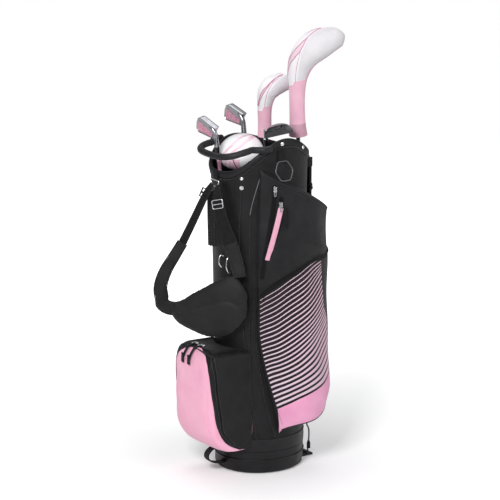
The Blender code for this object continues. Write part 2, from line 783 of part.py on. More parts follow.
def make_straps():
    """The shoulder strap pair: webbing, adjusters and padded lengths."""
    far_route = [(-0.1356, 0.008, 0.742), (-0.1475, 0.009, 0.725), (-0.160, 0.012, 0.702),
                 (-0.186, 0.024, 0.642), (-0.208, 0.030, 0.599)]
    far_web = finish("far_strap_web",
                     strap_mesh("far_strap_web", far_route, (0.0, -1.0, 0.0), STRAP_FACE,
                                WEB_WIDTH, WEB_THICKNESS, 12), WEBBING)
    make_buckle("ladder_lock", far_web, Vector((-0.1535, 0.0100, 0.7180)), (-0.42, 0.10, -0.90),
                (0.34, -0.92, 0.0), 0.028, MOULDED)
    pad_route = [(-0.2087, 0.0303, 0.5975), (-0.2305, 0.039, 0.560), (-0.2425, 0.048, 0.535),
                 (-0.2520, 0.055, 0.508), (-0.2535, 0.063, 0.481), (-0.2460, 0.069, 0.453),
                 (-0.2390, 0.0750, 0.4360), (-0.2285, 0.0670, 0.4255)]
    finish("far_strap_pad",
           strap_mesh("far_strap_pad", pad_route, STRAP_FACE, (0.05, -0.05, 1.0),
                      lambda u: 0.027 + 0.009 * min(1.0, u * 2.0), PAD_THICKNESS * 0.6, 18),
           PADDING)
    near_route = [(-0.1356, -0.0155, 0.742), (-0.1395, -0.0225, 0.722), (-0.141, -0.029, 0.700),
                  (-0.138, -0.040, 0.655), (-0.128, -0.058, 0.603)]
    near_web = finish("near_strap_web",
                      strap_mesh("near_strap_web", near_route, (0.0, -1.0, 0.0),
                                 (0.7, -0.8, 0.0), lambda u: WEB_WIDTH * (1.1 + 0.8 * u),
                                 WEB_THICKNESS, 12), WEBBING)
    make_buckle("strap_triglide", near_web, Vector((-0.1421, -0.0285, 0.698)),
                (0.0, -0.3, -1.0), (0.45, -1.0, 0.0), 0.032, BRIGHT_METAL)
    tail_route = [(-0.1279, -0.0583, 0.6023), (-0.122, -0.071, 0.570), (-0.119, -0.079, 0.545),
                  (-0.1177, -0.0857, 0.5196)]
    finish("near_strap_pad",
           strap_mesh("near_strap_pad", tail_route, (0.7, -0.8, 0.0), (0.75, -0.7, 0.0),
                      lambda u: 0.036 - 0.006 * u, 0.006, 8), PADDING)
    spine_route = [(-0.1290, 0.020, 0.718), (-0.1288, 0.020, 0.66), (-0.1283, 0.018, 0.580)]
    finish("spine_strap", strap_mesh("spine_strap", spine_route, (0.3, -1.0, 0.0),
                                     (0.3, -1.0, 0.0), 0.026, 0.0045, 8), PADDING)


PAD_TOP_EDGE = [(-0.101, -0.098, 0.478), (-0.113, -0.082, 0.510), (-0.130, -0.060, 0.522),
                (-0.156, -0.026, 0.503), (-0.185, 0.012, 0.474), (-0.207, 0.041, 0.450),
                (-0.2215, 0.0580, 0.442)]
PAD_LOW_EDGE = [(-0.103, -0.096, 0.418), (-0.118, -0.078, 0.387), (-0.137, -0.052, 0.364),
                (-0.166, -0.012, 0.358), (-0.191, 0.018, 0.370), (-0.210, 0.044, 0.385),
                (-0.2215, 0.0580, 0.404)]


def pad_place(u, v, w):
    """The big shoulder pad: a curved cushion stretched between its two edges."""
    steps = PAD_STEPS
    i = round(u * steps)
    top = smooth_path(PAD_TOP_EDGE, steps)[i]
    low = smooth_path(PAD_LOW_EDGE, steps)[i]
    belly = PAD_BELLY * math.cos(math.pi * (v - 0.5)) * math.sin(math.pi * u) ** 0.5
    rim_share = min(1.0, 4 * v * (1 - v) * 2.2) * min(1.0, 8 * u * (1 - u) + 0.35)
    half = (w - 0.5) * PAD_THICKNESS * (0.45 + 0.55 * rim_share)
    return low.lerp(top, v) + PAD_OUT * (half + belly)


def make_shoulder_pad():
    """The large pad that both straps end in."""
    finish("shoulder_pad", block_mesh("shoulder_pad", (PAD_STEPS - 1, 6, 0), pad_place), PADDING, 60.0)


def make_grab_loop():
    """The webbing loop beside the boot, used to lift the bag's foot."""
    points = []
    for i in range(11):
        turn = math.radians(-90 + 18 * i)
        points.append((-BOOT_X - 2 * GAP - LOOP_REACH * math.cos(turn), 0.0,
                       LOOP_Z + LOOP_HALF * math.sin(turn)))
    mesh = strap_mesh("lower_grab_loop", points, ACROSS_Y, ACROSS_Y, WEB_WIDTH, 0.003, 20)
    finish("lower_grab_loop", mesh, WEBBING)


# ---------------------------------------------------------------- legs and stand
def leg_frame(side):
    """Hinge position, hinge axis and outward direction; side is -1 near, +1 far."""
    room = GAP + BRACKET_WALL + LEG_RADIUS * LEG_ROOM
    out = oval_normal(side * LEG_ANGLE, LEG_TOP)
    return oval_point(side * LEG_ANGLE, LEG_TOP, room), Vector((out.y, -out.x, 0.0)), out


def make_leg(word, side):
    """One leg with its bracket, hinge pin and rubber foot."""
    hinge, axis, out = leg_frame(side)
    top = Vector((0.0, 0.0, LEG_HEAD))
    bottom = Vector((0.0, 0.0, LEG_BOTTOM - LEG_TOP + GAP))
    leg = finish("leg_" + word, rod_mesh("leg", bottom, top, LEG_RADIUS, LEG_RADIUS, 14), DARK_METAL)
    bore = rod_mesh("bore", axis * -0.02, axis * 0.02, PIN_RADIUS + GAP, PIN_RADIUS + GAP, 12)
    combine(leg, bore, "DIFFERENCE", hinge)
    leg.location = hinge

    cheek = LEG_RADIUS + GAP
    outer = cheek + BRACKET_WALL
    back = LEG_RADIUS * LEG_ROOM

    def shell(u, v, w):
        low = Vector((hinge.x, hinge.y, hinge.z - BRACKET_HEIGHT / 2))
        depth = -back - BRACKET_WALL + u * (back + BRACKET_WALL + LEG_RADIUS * 0.7)
        return low + out * depth + axis * (2 * v - 1) * outer + Vector((0, 0, w * BRACKET_HEIGHT))

    bracket = finish("leg_bracket_" + word, block_mesh("bracket", (0, 0, 0), shell), MOULDED)

    def slot(u, v, w):
        low = Vector((hinge.x, hinge.y, hinge.z - BRACKET_HEIGHT))
        return (low + out * (u * 0.04 - back) + axis * (2 * v - 1) * cheek
                + Vector((0, 0, w * 2 * BRACKET_HEIGHT)))

    combine(bracket, block_mesh("slot", (0, 0, 0), slot), "DIFFERENCE")
    half_pin = cheek + BRACKET_WALL / 2
    pin = rod_mesh("pin", hinge - axis * half_pin, hinge + axis * half_pin,
                   PIN_RADIUS, PIN_RADIUS, 12)
    combine(bracket, pin, "UNION")
    foot = rod_mesh("foot", (0, 0, LEG_BOTTOM - LEG_TOP), (0, 0, LEG_BOTTOM - LEG_TOP - FOOT_HEIGHT),
                    FOOT_RADIUS, FOOT_RADIUS * 0.85, 14)
    rubber = finish("leg_foot_" + word, foot, RUBBER)
    rubber.location = hinge


def make_wire():
    """The bent actuator wire: a U that stands on the foot plate's nose."""
    foot = PLATE_THICKNESS + 2 * GAP + WIRE_RADIUS
    x = BOOT_X + WIRE_GAP
    bend = 0.006
    points = [Vector((x, -WIRE_Y, z)) for z in (WIRE_TOP, 0.215, 0.100)]
    points += [Vector((x + WIRE_BULGE, -WIRE_Y, 0.068)), Vector((x + WIRE_BULGE, -WIRE_Y, 0.042))]
    for i in range(6):
        turn = math.radians(90.0 * i / 5)
        points.append(Vector((x + WIRE_BULGE * 0.6, -WIRE_Y + bend - bend * math.cos(turn),
                              foot + bend - bend * math.sin(turn))))
    mirrored = [Vector((p.x, -p.y, p.z)) for p in reversed(points)]
    finish("actuator_wire", tube_mesh("actuator_wire", points + mirrored, WIRE_RADIUS),
           DARK_METAL, 60.0)


# ---------------------------------------------------------------- clubs
class Club:
    """A straight club line from its butt on the boot's floor to its head."""

    def __init__(self, butt, top, hosel_z):
        self.low = Vector((*butt, BOOT_FLOOR + GAP))
        high = Vector((*top, 0.80))
        self.axis = (high - self.low).normalized()
        lift = GRIP_BUTT * math.sqrt(1 - self.axis.z ** 2)
        self.low += self.axis * (lift / self.axis.z)
        self.hosel = self.at_height(hosel_z)

    def at_height(self, z):
        """The point of the club's line at a height."""
        return self.low + self.axis * ((z - self.low.z) / self.axis.z)

    def make_stick(self, name, shaft_look):
        """Grip and shaft, each in its own node."""
        mouth = self.low + self.axis * GRIP_LENGTH
        finish(name + "_grip", rod_mesh("grip", self.low, mouth, GRIP_BUTT, GRIP_MOUTH, 14),
               RUBBER)
        start = mouth + self.axis * GAP
        end = self.hosel - self.axis * GAP
        finish(name + "_shaft", rod_mesh("shaft", start, end, SHAFT_BUTT, SHAFT_TIP, 12),
               shaft_look)


def head_frame(club, heading, lie):
    """Toe, sole and face directions of an upturned head on a club's line."""
    turn = math.radians(heading)
    flat = Vector((math.cos(turn), math.sin(turn), 0.0))
    flat = (flat - club.axis * flat.dot(club.axis)).normalized()
    rise = math.radians(90.0 - lie)
    toe = flat * math.cos(rise) + club.axis * math.sin(rise)
    sole = club.axis * math.cos(rise) - flat * math.sin(rise)
    return toe, sole, toe.cross(sole)


def egg_mesh(name, centre, axes, halves, taper, rings=8, sides=16):
    """An egg: a sphere stretched along three directions, narrower at one end."""
    bm = bmesh.new()
    bmesh.ops.create_uvsphere(bm, u_segments=sides, v_segments=rings, radius=1.0)
    for corner in bm.verts:
        x, y, z = corner.co
        shrink = 1.0 - taper * x
        corner.co = (Vector(centre) + axes[0] * x * halves[0] + axes[1] * y * halves[1] * shrink
                     + axes[2] * z * halves[2] * shrink)
    return mesh_from(bm, name)


def make_wood(name, club, heading, halves, look):
    """An upturned wood: egg shaped head and hosel, shaft and grip."""
    toe, sole, face = head_frame(club, heading, 58.0)
    neck = club.hosel + club.axis * WOOD_NECK
    centre = neck + toe * halves[0] * 0.74 + sole * halves[2] * 0.25 - face * halves[1] * 0.05
    head = finish(name + "_head", egg_mesh(name, centre, (toe, face, sole), halves, 0.10), look)
    hosel = rod_mesh("hosel", club.hosel, neck + club.axis * 0.008, HOSEL_RADIUS,
                     HOSEL_RADIUS, 12)
    combine(head, hosel, "UNION")
    club.make_stick(name, GRAPHITE)


def make_iron(name, club, heading):
    """An upturned iron: wedge shaped blade and bent hosel, shaft and grip."""
    toe, sole, face = head_frame(club, heading, 66.0)
    bend = club.hosel + club.axis * IRON_NECK
    heel = bend + toe * 0.006 + sole * 0.006

    def place(u, v, w):
        height = IRON_HEEL + (IRON_TOE - IRON_HEEL) * u
        nose = 0.012 * max(0.0, (u - 0.7) / 0.3) ** 2
        thick = 0.004 + 0.014 * v ** 2
        rise = IRON_TOP - (1 - v) * height + nose * (0.7 - v)
        reach = u * (IRON_BLADE - nose * 0.4 * abs(2 * v - 1)) - 0.004
        return heel + toe * reach + sole * rise + face * ((w - 0.5) * thick + v * 0.004)

    head = finish(name + "_head", block_mesh(name, (5, 3, 0), place), BRIGHT_METAL, 50.0)
    neck = rod_mesh("neck", club.hosel, bend, HOSEL_RADIUS, HOSEL_RADIUS, 12)
    combine(head, neck, "UNION")
    crank = rod_mesh("crank", bend - club.axis * 0.003, heel + toe * 0.010, HOSEL_RADIUS * 0.92,
                     HOSEL_RADIUS * 0.85, 12)
    combine(head, crank, "UNION")
    club.make_stick(name, (PINK, 0.35))


def make_putter(club, heading):
    """An upturned mallet putter: half-round head on a short neck."""
    toe, sole, face = head_frame(club, heading, 78.0)
    outline = [(-PUTTER_HALF, 0.0)]
    for i in range(13):
        turn = math.pi * i / 12
        outline.append((-PUTTER_HALF * math.cos(turn), -0.006 - PUTTER_DEPTH * math.sin(turn)))
    outline.append((PUTTER_HALF, 0.0))
    mesh = outline_mesh("putter", [outline], PUTTER_THICK)
    centre = (club.hosel + toe * (PUTTER_HALF - 0.003) + sole * (PUTTER_THICK / 2 + 0.004)
              + face * 0.012)
    turn = Matrix((toe, face, sole)).transposed().to_4x4()
    mesh.transform(Matrix.Translation(centre) @ turn)
    head = finish("putter_head", mesh, DARK_METAL)
    neck = rod_mesh("neck", club.hosel, club.hosel + club.axis * 0.024, 0.0055, 0.0055, 12)
    combine(head, neck, "UNION")
    club.make_stick("putter", BRIGHT_METAL)


def make_cover(name, stations, face):
    """A stretch head cover: a sleeve that bends into a sock, through (x, y, z, half) stations."""
    steps = 20
    sides = 20
    route = smooth_path(stations, steps)
    rings = []
    for i, station in enumerate(route):
        ahead = route[min(i + 1, steps)].to_3d()
        axis = (ahead - route[max(i - 1, 0)].to_3d()).normalized()
        side = (face - axis * face.dot(axis)).normalized()
        up = axis.cross(side)
        half = station[3]
        deep = half + COVER_DEPTH * max(0.0, half - SLEEVE_RADIUS)
        rings.append([station.to_3d() + side * deep * math.cos(t) + up * half * math.sin(t)
                      for t in (2 * math.pi * j / sides for j in range(sides))])
    cover = finish(name, loft_mesh(name, rings, cap_end=True), (PINK, 0.9), 60.0)
    thicken(cover, COVER_WALL, -1.0)


def make_clubs():
    """Six clubs: two irons, a putter, an uncovered wood and two covered woods."""
    left = Club((0.020, 0.055), (-0.1010, 0.031), 0.826)
    make_iron("left_iron", left, 100.0)
    right = Club((0.062, 0.040), (0.018, 0.086), 0.832)
    make_iron("right_iron", right, 100.0)
    putter = Club((-0.005, -0.062), (-0.011, -0.047), 0.846)
    make_putter(putter, -35.0)
    wood = Club((-0.058, -0.026), (-0.051, 0.0090), 0.751)
    make_wood("open_wood", wood, 45.0, (0.057, 0.0575, 0.034), (WHITE, 0.2))

    facing = Vector((0.57, 0.82, 0.0))
    driver = Club((0.066, -0.036), (0.0895, -0.0395), 1.008)
    make_wood("driver", driver, -36.0, (0.0489, 0.0418, 0.0252), GRAPHITE)
    make_cover("driver_cover",
               [(0.0905, -0.0400, 0.842, 0.0235), (0.0895, -0.0395, 0.862, 0.0210),
                (0.0885, -0.0385, 0.893, 0.0195), (0.0880, -0.0380, 0.931, 0.0195),
                (0.0885, -0.0385, 0.969, 0.0215), (0.0910, -0.0400, 1.001, 0.0270),
                (0.0980, -0.0450, 1.030, 0.0330), (0.1110, -0.0540, 1.054, 0.0370),
                (0.1290, -0.0670, 1.071, 0.0370), (0.1500, -0.0810, 1.082, 0.0325),
                (0.1700, -0.0960, 1.090, 0.0240), (0.1830, -0.1050, 1.096, 0.0120)], facing)
    hybrid = Club((0.015, 0.005), (0.0420, 0.0300), 0.920)
    make_wood("hybrid", hybrid, -22.0, (0.0313, 0.0221, 0.0138), GRAPHITE)
    make_cover("hybrid_cover",
               [(0.0385, 0.0300, 0.832, 0.0180), (0.0390, 0.0310, 0.869, 0.0170),
                (0.0400, 0.0330, 0.900, 0.0180), (0.0425, 0.0330, 0.924, 0.0215),
                (0.0480, 0.0310, 0.944, 0.0255), (0.0590, 0.0270, 0.957, 0.0265),
                (0.0760, 0.0190, 0.965, 0.0240), (0.0950, 0.0110, 0.968, 0.0190),
                (0.1070, 0.0060, 0.969, 0.0110)], facing)


# ---------------------------------------------------------------- build the set
make_boot()
make_foot_plate()
make_body()
make_stays()
make_collar()
make_divider()
make_handle()
make_apparel_pocket()
make_ball_pocket()
make_zip_parts()
make_towel_ring()
make_spine_ring()
make_straps()
make_shoulder_pad()
make_grab_loop()
make_leg("near", -1.0)
make_leg("far", 1.0)
make_wire()
make_clubs()
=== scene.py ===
# %% [markdown]
# # A golf club set in its stand bag
# The object is a light stand bag: a moulded boot and collar with a fabric tube between them,
# pockets sewn on two sides, shoulder straps that hang from a ring, two folding legs, and six
# clubs standing upside down in it. The solids of the fixed frame give every place. This script
# dresses them: fine meshes where cloth, knit and polished metal need smooth curves, and a
# material for each finish.

import json
import math

import bmesh
import bpy
import numpy as np
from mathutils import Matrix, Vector


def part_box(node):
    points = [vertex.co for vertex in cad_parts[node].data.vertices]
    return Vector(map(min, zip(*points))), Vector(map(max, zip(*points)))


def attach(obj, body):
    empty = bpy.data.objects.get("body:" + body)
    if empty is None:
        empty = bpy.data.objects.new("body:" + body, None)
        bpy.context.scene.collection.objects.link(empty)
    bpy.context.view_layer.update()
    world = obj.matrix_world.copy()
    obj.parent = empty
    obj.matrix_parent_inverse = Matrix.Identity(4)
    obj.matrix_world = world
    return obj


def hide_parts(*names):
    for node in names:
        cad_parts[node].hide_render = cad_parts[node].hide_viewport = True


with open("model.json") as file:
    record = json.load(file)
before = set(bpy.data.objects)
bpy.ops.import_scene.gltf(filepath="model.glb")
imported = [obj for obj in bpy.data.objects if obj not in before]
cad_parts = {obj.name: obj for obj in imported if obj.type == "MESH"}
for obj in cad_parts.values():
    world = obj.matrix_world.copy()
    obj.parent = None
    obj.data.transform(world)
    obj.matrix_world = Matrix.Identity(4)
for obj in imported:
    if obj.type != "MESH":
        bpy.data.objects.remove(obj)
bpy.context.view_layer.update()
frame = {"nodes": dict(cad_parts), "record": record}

# %% [markdown]
# ## Camera, floor and light
# A catalogue picture of sports gear is taken with a long lens on a white sweep: soft light from
# above and from the left, hardly any perspective. The camera stands nine metres off, the floor
# is a plain pale sheet, and three large lamps light the set at a plain level.

# %% Camera
TARGET = Vector((0.0, 0.0, 0.45))
VIEW_AROUND = math.radians(-35.0)
VIEW_UP = math.radians(16.0)
VIEW_FAR = 9.0
VIEW_WIDTH = 1.25               # metres across the picture at the target

scene = bpy.context.scene
scene.view_settings.view_transform = "Standard"
towards = Vector((math.sin(VIEW_AROUND) * math.cos(VIEW_UP),
                  -math.cos(VIEW_AROUND) * math.cos(VIEW_UP), math.sin(VIEW_UP)))
lens = bpy.data.cameras.new("camera")
lens.angle = 2 * math.atan(VIEW_WIDTH / 2 / VIEW_FAR)
lens.shift_x = -0.018
lens.shift_y = 0.079
camera = bpy.data.objects.new("camera", lens)
camera.location = TARGET + towards * VIEW_FAR
camera.rotation_euler = towards.to_track_quat("Z", "Y").to_euler()
scene.collection.objects.link(camera)
scene.camera = camera

# %% One function for colour, one for nodes
def linear(code):
    """An sRGB hex colour as the linear values that a shader takes."""
    values = [int(code[i:i + 2], 16) / 255 for i in (1, 3, 5)]
    return tuple(v / 12.92 if v <= 0.04045 else ((v + 0.055) / 1.055) ** 2.4
                 for v in values) + (1.0,)


def add(tree, kind, inputs=None, **settings):
    """Add a node; an input is a value or the output socket of another node."""
    node = tree.nodes.new(kind)
    for name, value in settings.items():
        setattr(node, name, value)
    for key, value in (inputs or {}).items():
        socket = node.inputs[key]
        if isinstance(value, bpy.types.NodeSocket):
            tree.links.new(value, socket)
        else:
            socket.default_value = value
    return node

def new_material(name):
    """An empty material, its nodes, and the place of a point on the object."""
    made = bpy.data.materials.new(name)
    made.use_nodes = True
    made.node_tree.nodes.clear()
    where = add(made.node_tree, "ShaderNodeTexCoord").outputs["Object"]
    return made, made.node_tree, where

# %% Lamps and white surroundings
def lamp(name, place, size, power):
    """A square soft box that looks at the middle of the bag."""
    light = bpy.data.lights.new(name, "AREA")
    light.size = size
    light.energy = power
    box = bpy.data.objects.new(name, light)
    box.location = place
    box.rotation_euler = (Vector(place) - TARGET).to_track_quat("Z", "Y").to_euler()
    scene.collection.objects.link(box)


lamp("key_lamp", (-2.9, -2.2, 3.0), 1.3, 128.0)
lamp("front_lamp", (1.6, -3.4, 1.7), 2.2, 36.0)
lamp("top_lamp", (0.3, 0.8, 3.6), 2.4, 34.0)

world = bpy.data.worlds.new("studio")
scene.world = world
world.use_nodes = True
tree = world.node_tree
tree.nodes.clear()
ray = add(tree, "ShaderNodeLightPath")
soft = add(tree, "ShaderNodeBackground", {"Color": linear("#F4F5F8"), "Strength": 0.34})
white = add(tree, "ShaderNodeBackground", {"Color": (1, 1, 1, 1), "Strength": 1.0})
both = add(tree, "ShaderNodeMixShader", {0: ray.outputs["Is Camera Ray"], 1: soft.outputs[0],
                                         2: white.outputs[0]})
add(tree, "ShaderNodeOutputWorld", {"Surface": both.outputs[0]})

# %% Floor
floor_mesh = bpy.data.meshes.new("floor")
FLOOR = 2.6
floor_mesh.from_pydata([(-FLOOR, -FLOOR, -0.0005), (FLOOR, -FLOOR, -0.0005),
                        (FLOOR, FLOOR, -0.0005), (-FLOOR, FLOOR, -0.0005)], [], [(0, 1, 2, 3)])
floor = bpy.data.objects.new("floor", floor_mesh)
scene.collection.objects.link(floor)
paper, tree, here = new_material("white_paper_sweep")
ray = add(tree, "ShaderNodeLightPath")
matt = add(tree, "ShaderNodeBsdfDiffuse", {"Color": linear("#F6F6F6")})
spot = add(tree, "ShaderNodeVectorMath", {0: here}, operation="LENGTH")
far_off = add(tree, "ShaderNodeMapRange", {"Value": spot.outputs["Value"], "From Min": 0.25,
                                           "From Max": 1.6, "To Min": 0.14, "To Max": 0.9})
lift = add(tree, "ShaderNodeEmission", {"Color": (1, 1, 1, 1),
                                        "Strength": far_off.outputs[0]})
glow = add(tree, "ShaderNodeMixShader", {0: ray.outputs["Is Camera Ray"], 1: matt.outputs[0]})
sum_ = add(tree, "ShaderNodeAddShader", {0: matt.outputs[0], 1: lift.outputs[0]})
tree.links.new(sum_.outputs[0], glow.inputs[2])
add(tree, "ShaderNodeOutputMaterial", {"Surface": glow.outputs[0]})
floor_mesh.materials.append(paper)
print("camera, three lamps, floor")

# %% [markdown]
# ## Materials
# A set like this is nylon cloth, webbing, moulded plastic, knit and metal. Each finish below
# starts from what the real stuff is. The weave and the ribs are bump patterns whose scale comes
# from a size in millimetres, a slow noise varies the colour as handling does, and broad soft
# waves bend the light on the cloth.

# %% Helpers that every finish shares
def finished(made, inputs):
    """Close a material with a principled shader that has these inputs."""
    tree = made.node_tree
    shader = add(tree, "ShaderNodeBsdfPrincipled", inputs)
    add(tree, "ShaderNodeOutputMaterial", {"Surface": shader.outputs[0]})
    return made


def per_metre(millimetres):
    """Texture scale at which one period is this many millimetres."""
    return 1000.0 / millimetres


def number(tree, operation, *values):
    return add(tree, "ShaderNodeMath", dict(enumerate(values)), operation=operation).outputs[0]


def ramped(tree, value, start, end, low=0.0, high=1.0):
    """A value carried from the range start to end over to low to high, and held there."""
    return add(tree, "ShaderNodeMapRange", {"Value": value, "From Min": start, "From Max": end,
                                            "To Min": low, "To Max": high}).outputs[0]


def noise(tree, where, size_mm, detail=2.0, roughness=0.5):
    """A soft random pattern with features of about size_mm."""
    return add(tree, "ShaderNodeTexNoise", {"Vector": where, "Scale": per_metre(size_mm),
                                            "Detail": detail,
                                            "Roughness": roughness}).outputs["Fac"]


def shades(tree, where, low, high, size_mm):
    """A colour that wanders between two hex shades over about size_mm."""
    ramp = add(tree, "ShaderNodeValToRGB", {"Fac": noise(tree, where, size_mm, 3.0, 0.55)})
    for stop, place, shade in zip(ramp.color_ramp.elements, (0.30, 0.70), (low, high)):
        stop.position = place
        stop.color = linear(shade)
    return ramp.outputs["Color"]


def bumps(tree, *layers):
    """Stack height patterns into one normal; each layer is (height, distance in mm)."""
    normal = None
    for height, depth_mm in layers:
        inputs = {"Height": height, "Distance": depth_mm / 1000.0, "Strength": 1.0}
        if normal is not None:
            inputs["Normal"] = normal
        normal = add(tree, "ShaderNodeBump", inputs).outputs["Normal"]
    return normal


def uv_place(tree, layer="metres"):
    return add(tree, "ShaderNodeUVMap", uv_map=layer).outputs["UV"]


def axes_of(tree, where):
    """The first two axes of a place or of a map."""
    split = add(tree, "ShaderNodeSeparateXYZ", {0: where})
    return split.outputs["X"], split.outputs["Y"]


def waves(tree, along, period_mm):
    """Ribs across an axis, one every period_mm."""
    return number(tree, "SINE", number(tree, "MULTIPLY", along,
                                       2 * math.pi * per_metre(period_mm)))


def weave(tree, where, period_mm):
    """Over-and-under threads along the first two axes of where."""
    both_ways = [waves(tree, axis, period_mm) for axis in axes_of(tree, where)]
    return number(tree, "MULTIPLY", *both_ways)

# %% Nylon cloth: 600 denier, plain weave with a coated face and a soft sheen
def nylon(name, low, high, rough=0.62, uv=True, sheen=0.25, crease=1.6, gloss=0.35):
    made, tree, here = new_material(name)
    threads = weave(tree, uv_place(tree) if uv else here, 1.1)
    normal = bumps(tree, (noise(tree, here, 70.0, 2.0, 0.45), crease), (threads, 0.05))
    return finished(made, {"Base Color": shades(tree, here, low, high, 40.0), "Normal": normal,
                           "Roughness": rough, "Sheen Weight": sheen, "Sheen Roughness": 0.45,
                           "Specular IOR Level": gloss})

# %% Webbing: ribbed polyester, with ribs across the strap every 1.6 mm
def webbing_cloth(name, low, high, across_mm=1.6):
    made, tree, here = new_material(name)
    ribs = weave(tree, uv_place(tree), across_mm)
    return finished(made, {"Base Color": shades(tree, here, low, high, 12.0),
                           "Normal": bumps(tree, (ribs, 0.25)), "Roughness": 0.8,
                           "Sheen Weight": 0.06, "Sheen Roughness": 0.5,
                           "Specular IOR Level": 0.22})

# %% Moulded plastic: nylon with a fine spark-eroded grain
def moulded_plastic(name, low, high, rough=0.5, grain_mm=0.9, depth=0.05):
    made, tree, here = new_material(name)
    worn = ramped(tree, noise(tree, here, 25.0), 0.3, 0.7, rough - 0.07, rough + 0.07)
    return finished(made, {"Base Color": shades(tree, here, low, high, 30.0),
                           "Roughness": worn, "Specular IOR Level": 0.3,
                           "Normal": bumps(tree, (noise(tree, here, grain_mm), depth))})

# %% Metals: bright nickel plate, brushed steel, dark plated and anodised tube
def metal(name, colour, rough, grain=(1.0, 1.0, 1.0)):
    made, tree, here = new_material(name)
    stretch = add(tree, "ShaderNodeMapping", {"Vector": here, "Scale": grain})
    lines = noise(tree, stretch.outputs[0], 0.6, 3.0)
    smear = noise(tree, here, 14.0)
    return finished(made, {"Base Color": linear(colour), "Metallic": 1.0,
                           "Roughness": ramped(tree, smear, 0.3, 0.7, rough * 0.75, rough * 1.3),
                           "Normal": bumps(tree, (lines, 0.02))})

# %% Gloss paint over metal or graphite: a clear coat on an even colour
def gloss_paint(name, low, high, rough=0.32):
    made, tree, here = new_material(name)
    return finished(made, {"Base Color": shades(tree, here, low, high, 20.0), "Roughness": rough,
                           "Coat Weight": 0.7, "Coat Roughness": 0.08,
                           "Normal": bumps(tree, (noise(tree, here, 3.0), 0.01))})


BODY_NYLON = nylon("black_nylon_600d", "#0B0B0C", "#171719", rough=0.42, sheen=0.03, crease=4.2,
                   gloss=0.26)
PINK_RIBBON = nylon("pink_satin_ribbon", "#DB9DB4", "#E3ABBF", rough=0.5, sheen=0.1, crease=0.2)
BLACK_PIPING = nylon("black_piping_cord", "#08080A", "#101011", rough=0.6, uv=False, crease=0.1)
SILVER_PIPING = nylon("reflective_piping", "#6A6A6C", "#858588", rough=0.35, uv=False,
                      crease=0.1)
PAD_MESH = nylon("pad_spacer_mesh", "#131314", "#1D1D1E", rough=0.6, uv=False, sheen=0.08,
                 crease=2.4, gloss=0.26)
WEBBING = webbing_cloth("black_webbing", "#0D0D0E", "#171718")
GREY_WEBBING = webbing_cloth("charcoal_webbing", "#17171A", "#232325")
ZIP_TAPE = webbing_cloth("zip_tape", "#08080A", "#0F0F10", 0.9)
ABS = moulded_plastic("moulded_nylon_plastic", "#0F0F11", "#18181A")
ABS_SMOOTH = moulded_plastic("moulded_plastic_satin", "#101012", "#1A1A1C", rough=0.36,
                             depth=0.015)
BOOT_PLASTIC = moulded_plastic("boot_polypropylene", "#0E0E10", "#171719", rough=0.40)
SOFT_RUBBER = moulded_plastic("soft_touch_rubber", "#19191B", "#242426", rough=0.45,
                              grain_mm=1.4, depth=0.08)
GRIP_RUBBER = moulded_plastic("grip_rubber", "#161617", "#202022", rough=0.75, grain_mm=1.1,
                              depth=0.2)
NICKEL = metal("nickel_plate", "#EDEDEF", 0.22)
CAST_STEEL = metal("cast_steel", "#A9AAAE", 0.30)
BRUSHED = metal("brushed_steel", "#B9BBBF", 0.30, grain=(1.0, 1.0, 0.08))
DARK_PLATE = metal("dark_plated_steel", "#68686C", 0.34)
CORD_GREY = webbing_cloth("grey_cord", "#333335", "#454548", 0.9)
ANODISED = metal("black_anodised_tube", "#26262A", 0.33, grain=(1.0, 1.0, 0.05))
print("materials:", len(bpy.data.materials))

# %% [markdown]
# ## Shapes from rules
# Nearly everything here follows a rule: a strap is a flat section carried along a line, piping is
# a round one, the bag is an oval that widens upwards, and a pocket is that oval pushed outwards.
# So three builders do most of the work: a sweep along a path, a skin over a grid, and a smoothed
# copy of a solid from the frame.

# %% Paths and sweeps
def curve_point(a, b, c, d, t):
    """A point at a share t of the smooth curve from b to c, which a and d steer."""
    return 0.5 * (2 * b + (c - a) * t + (2 * a - 5 * b + 4 * c - d) * t ** 2
                  + (3 * b - a - 3 * c + d) * t ** 3)


def smooth_path(points, count):
    """Evenly numbered points on a smooth curve through the given points."""
    route = [Vector(point) for point in points]
    route = [2 * route[0] - route[1], *route, 2 * route[-1] - route[-2]]
    spans = len(route) - 3
    path = []
    for step in range(count + 1):
        place = min(step * spans / count, spans - 1e-9)
        i = int(place)
        path.append(curve_point(*route[i:i + 4], place - i))
    return path


def circle(radius, sides=14):
    return [(radius * math.cos(2 * math.pi * i / sides), radius * math.sin(2 * math.pi * i / sides))
            for i in range(sides)]


def slab(width, thickness, sides=20, square=4.0):
    """The section of a strap: a rectangle with rounded edges."""
    points = []
    for i in range(sides):
        turn = 2 * math.pi * (i + 0.5) / sides
        c, s = math.cos(turn), math.sin(turn)
        points.append((math.copysign(abs(c) ** (2 / square), c) * width / 2,
                       math.copysign(abs(s) ** (2 / square), s) * thickness / 2))
    return points


def frames(path, across=None, closed=False):
    """Along, across and out directions at each point of a path."""
    made = []
    last = len(path) - 1
    side = None
    for i in range(len(path)):
        ahead = path[(i + 1) % len(path)] if closed else path[min(i + 1, last)]
        behind = path[i - 1] if closed else path[max(i - 1, 0)]
        along = (ahead - behind).normalized()
        if across is not None:
            hint = across(i / last) if callable(across) else Vector(across)
        else:
            hint = side if side is not None else along.orthogonal()
        side = (hint - along * along.dot(hint)).normalized()
        made.append((along, side, along.cross(side)))
    return made


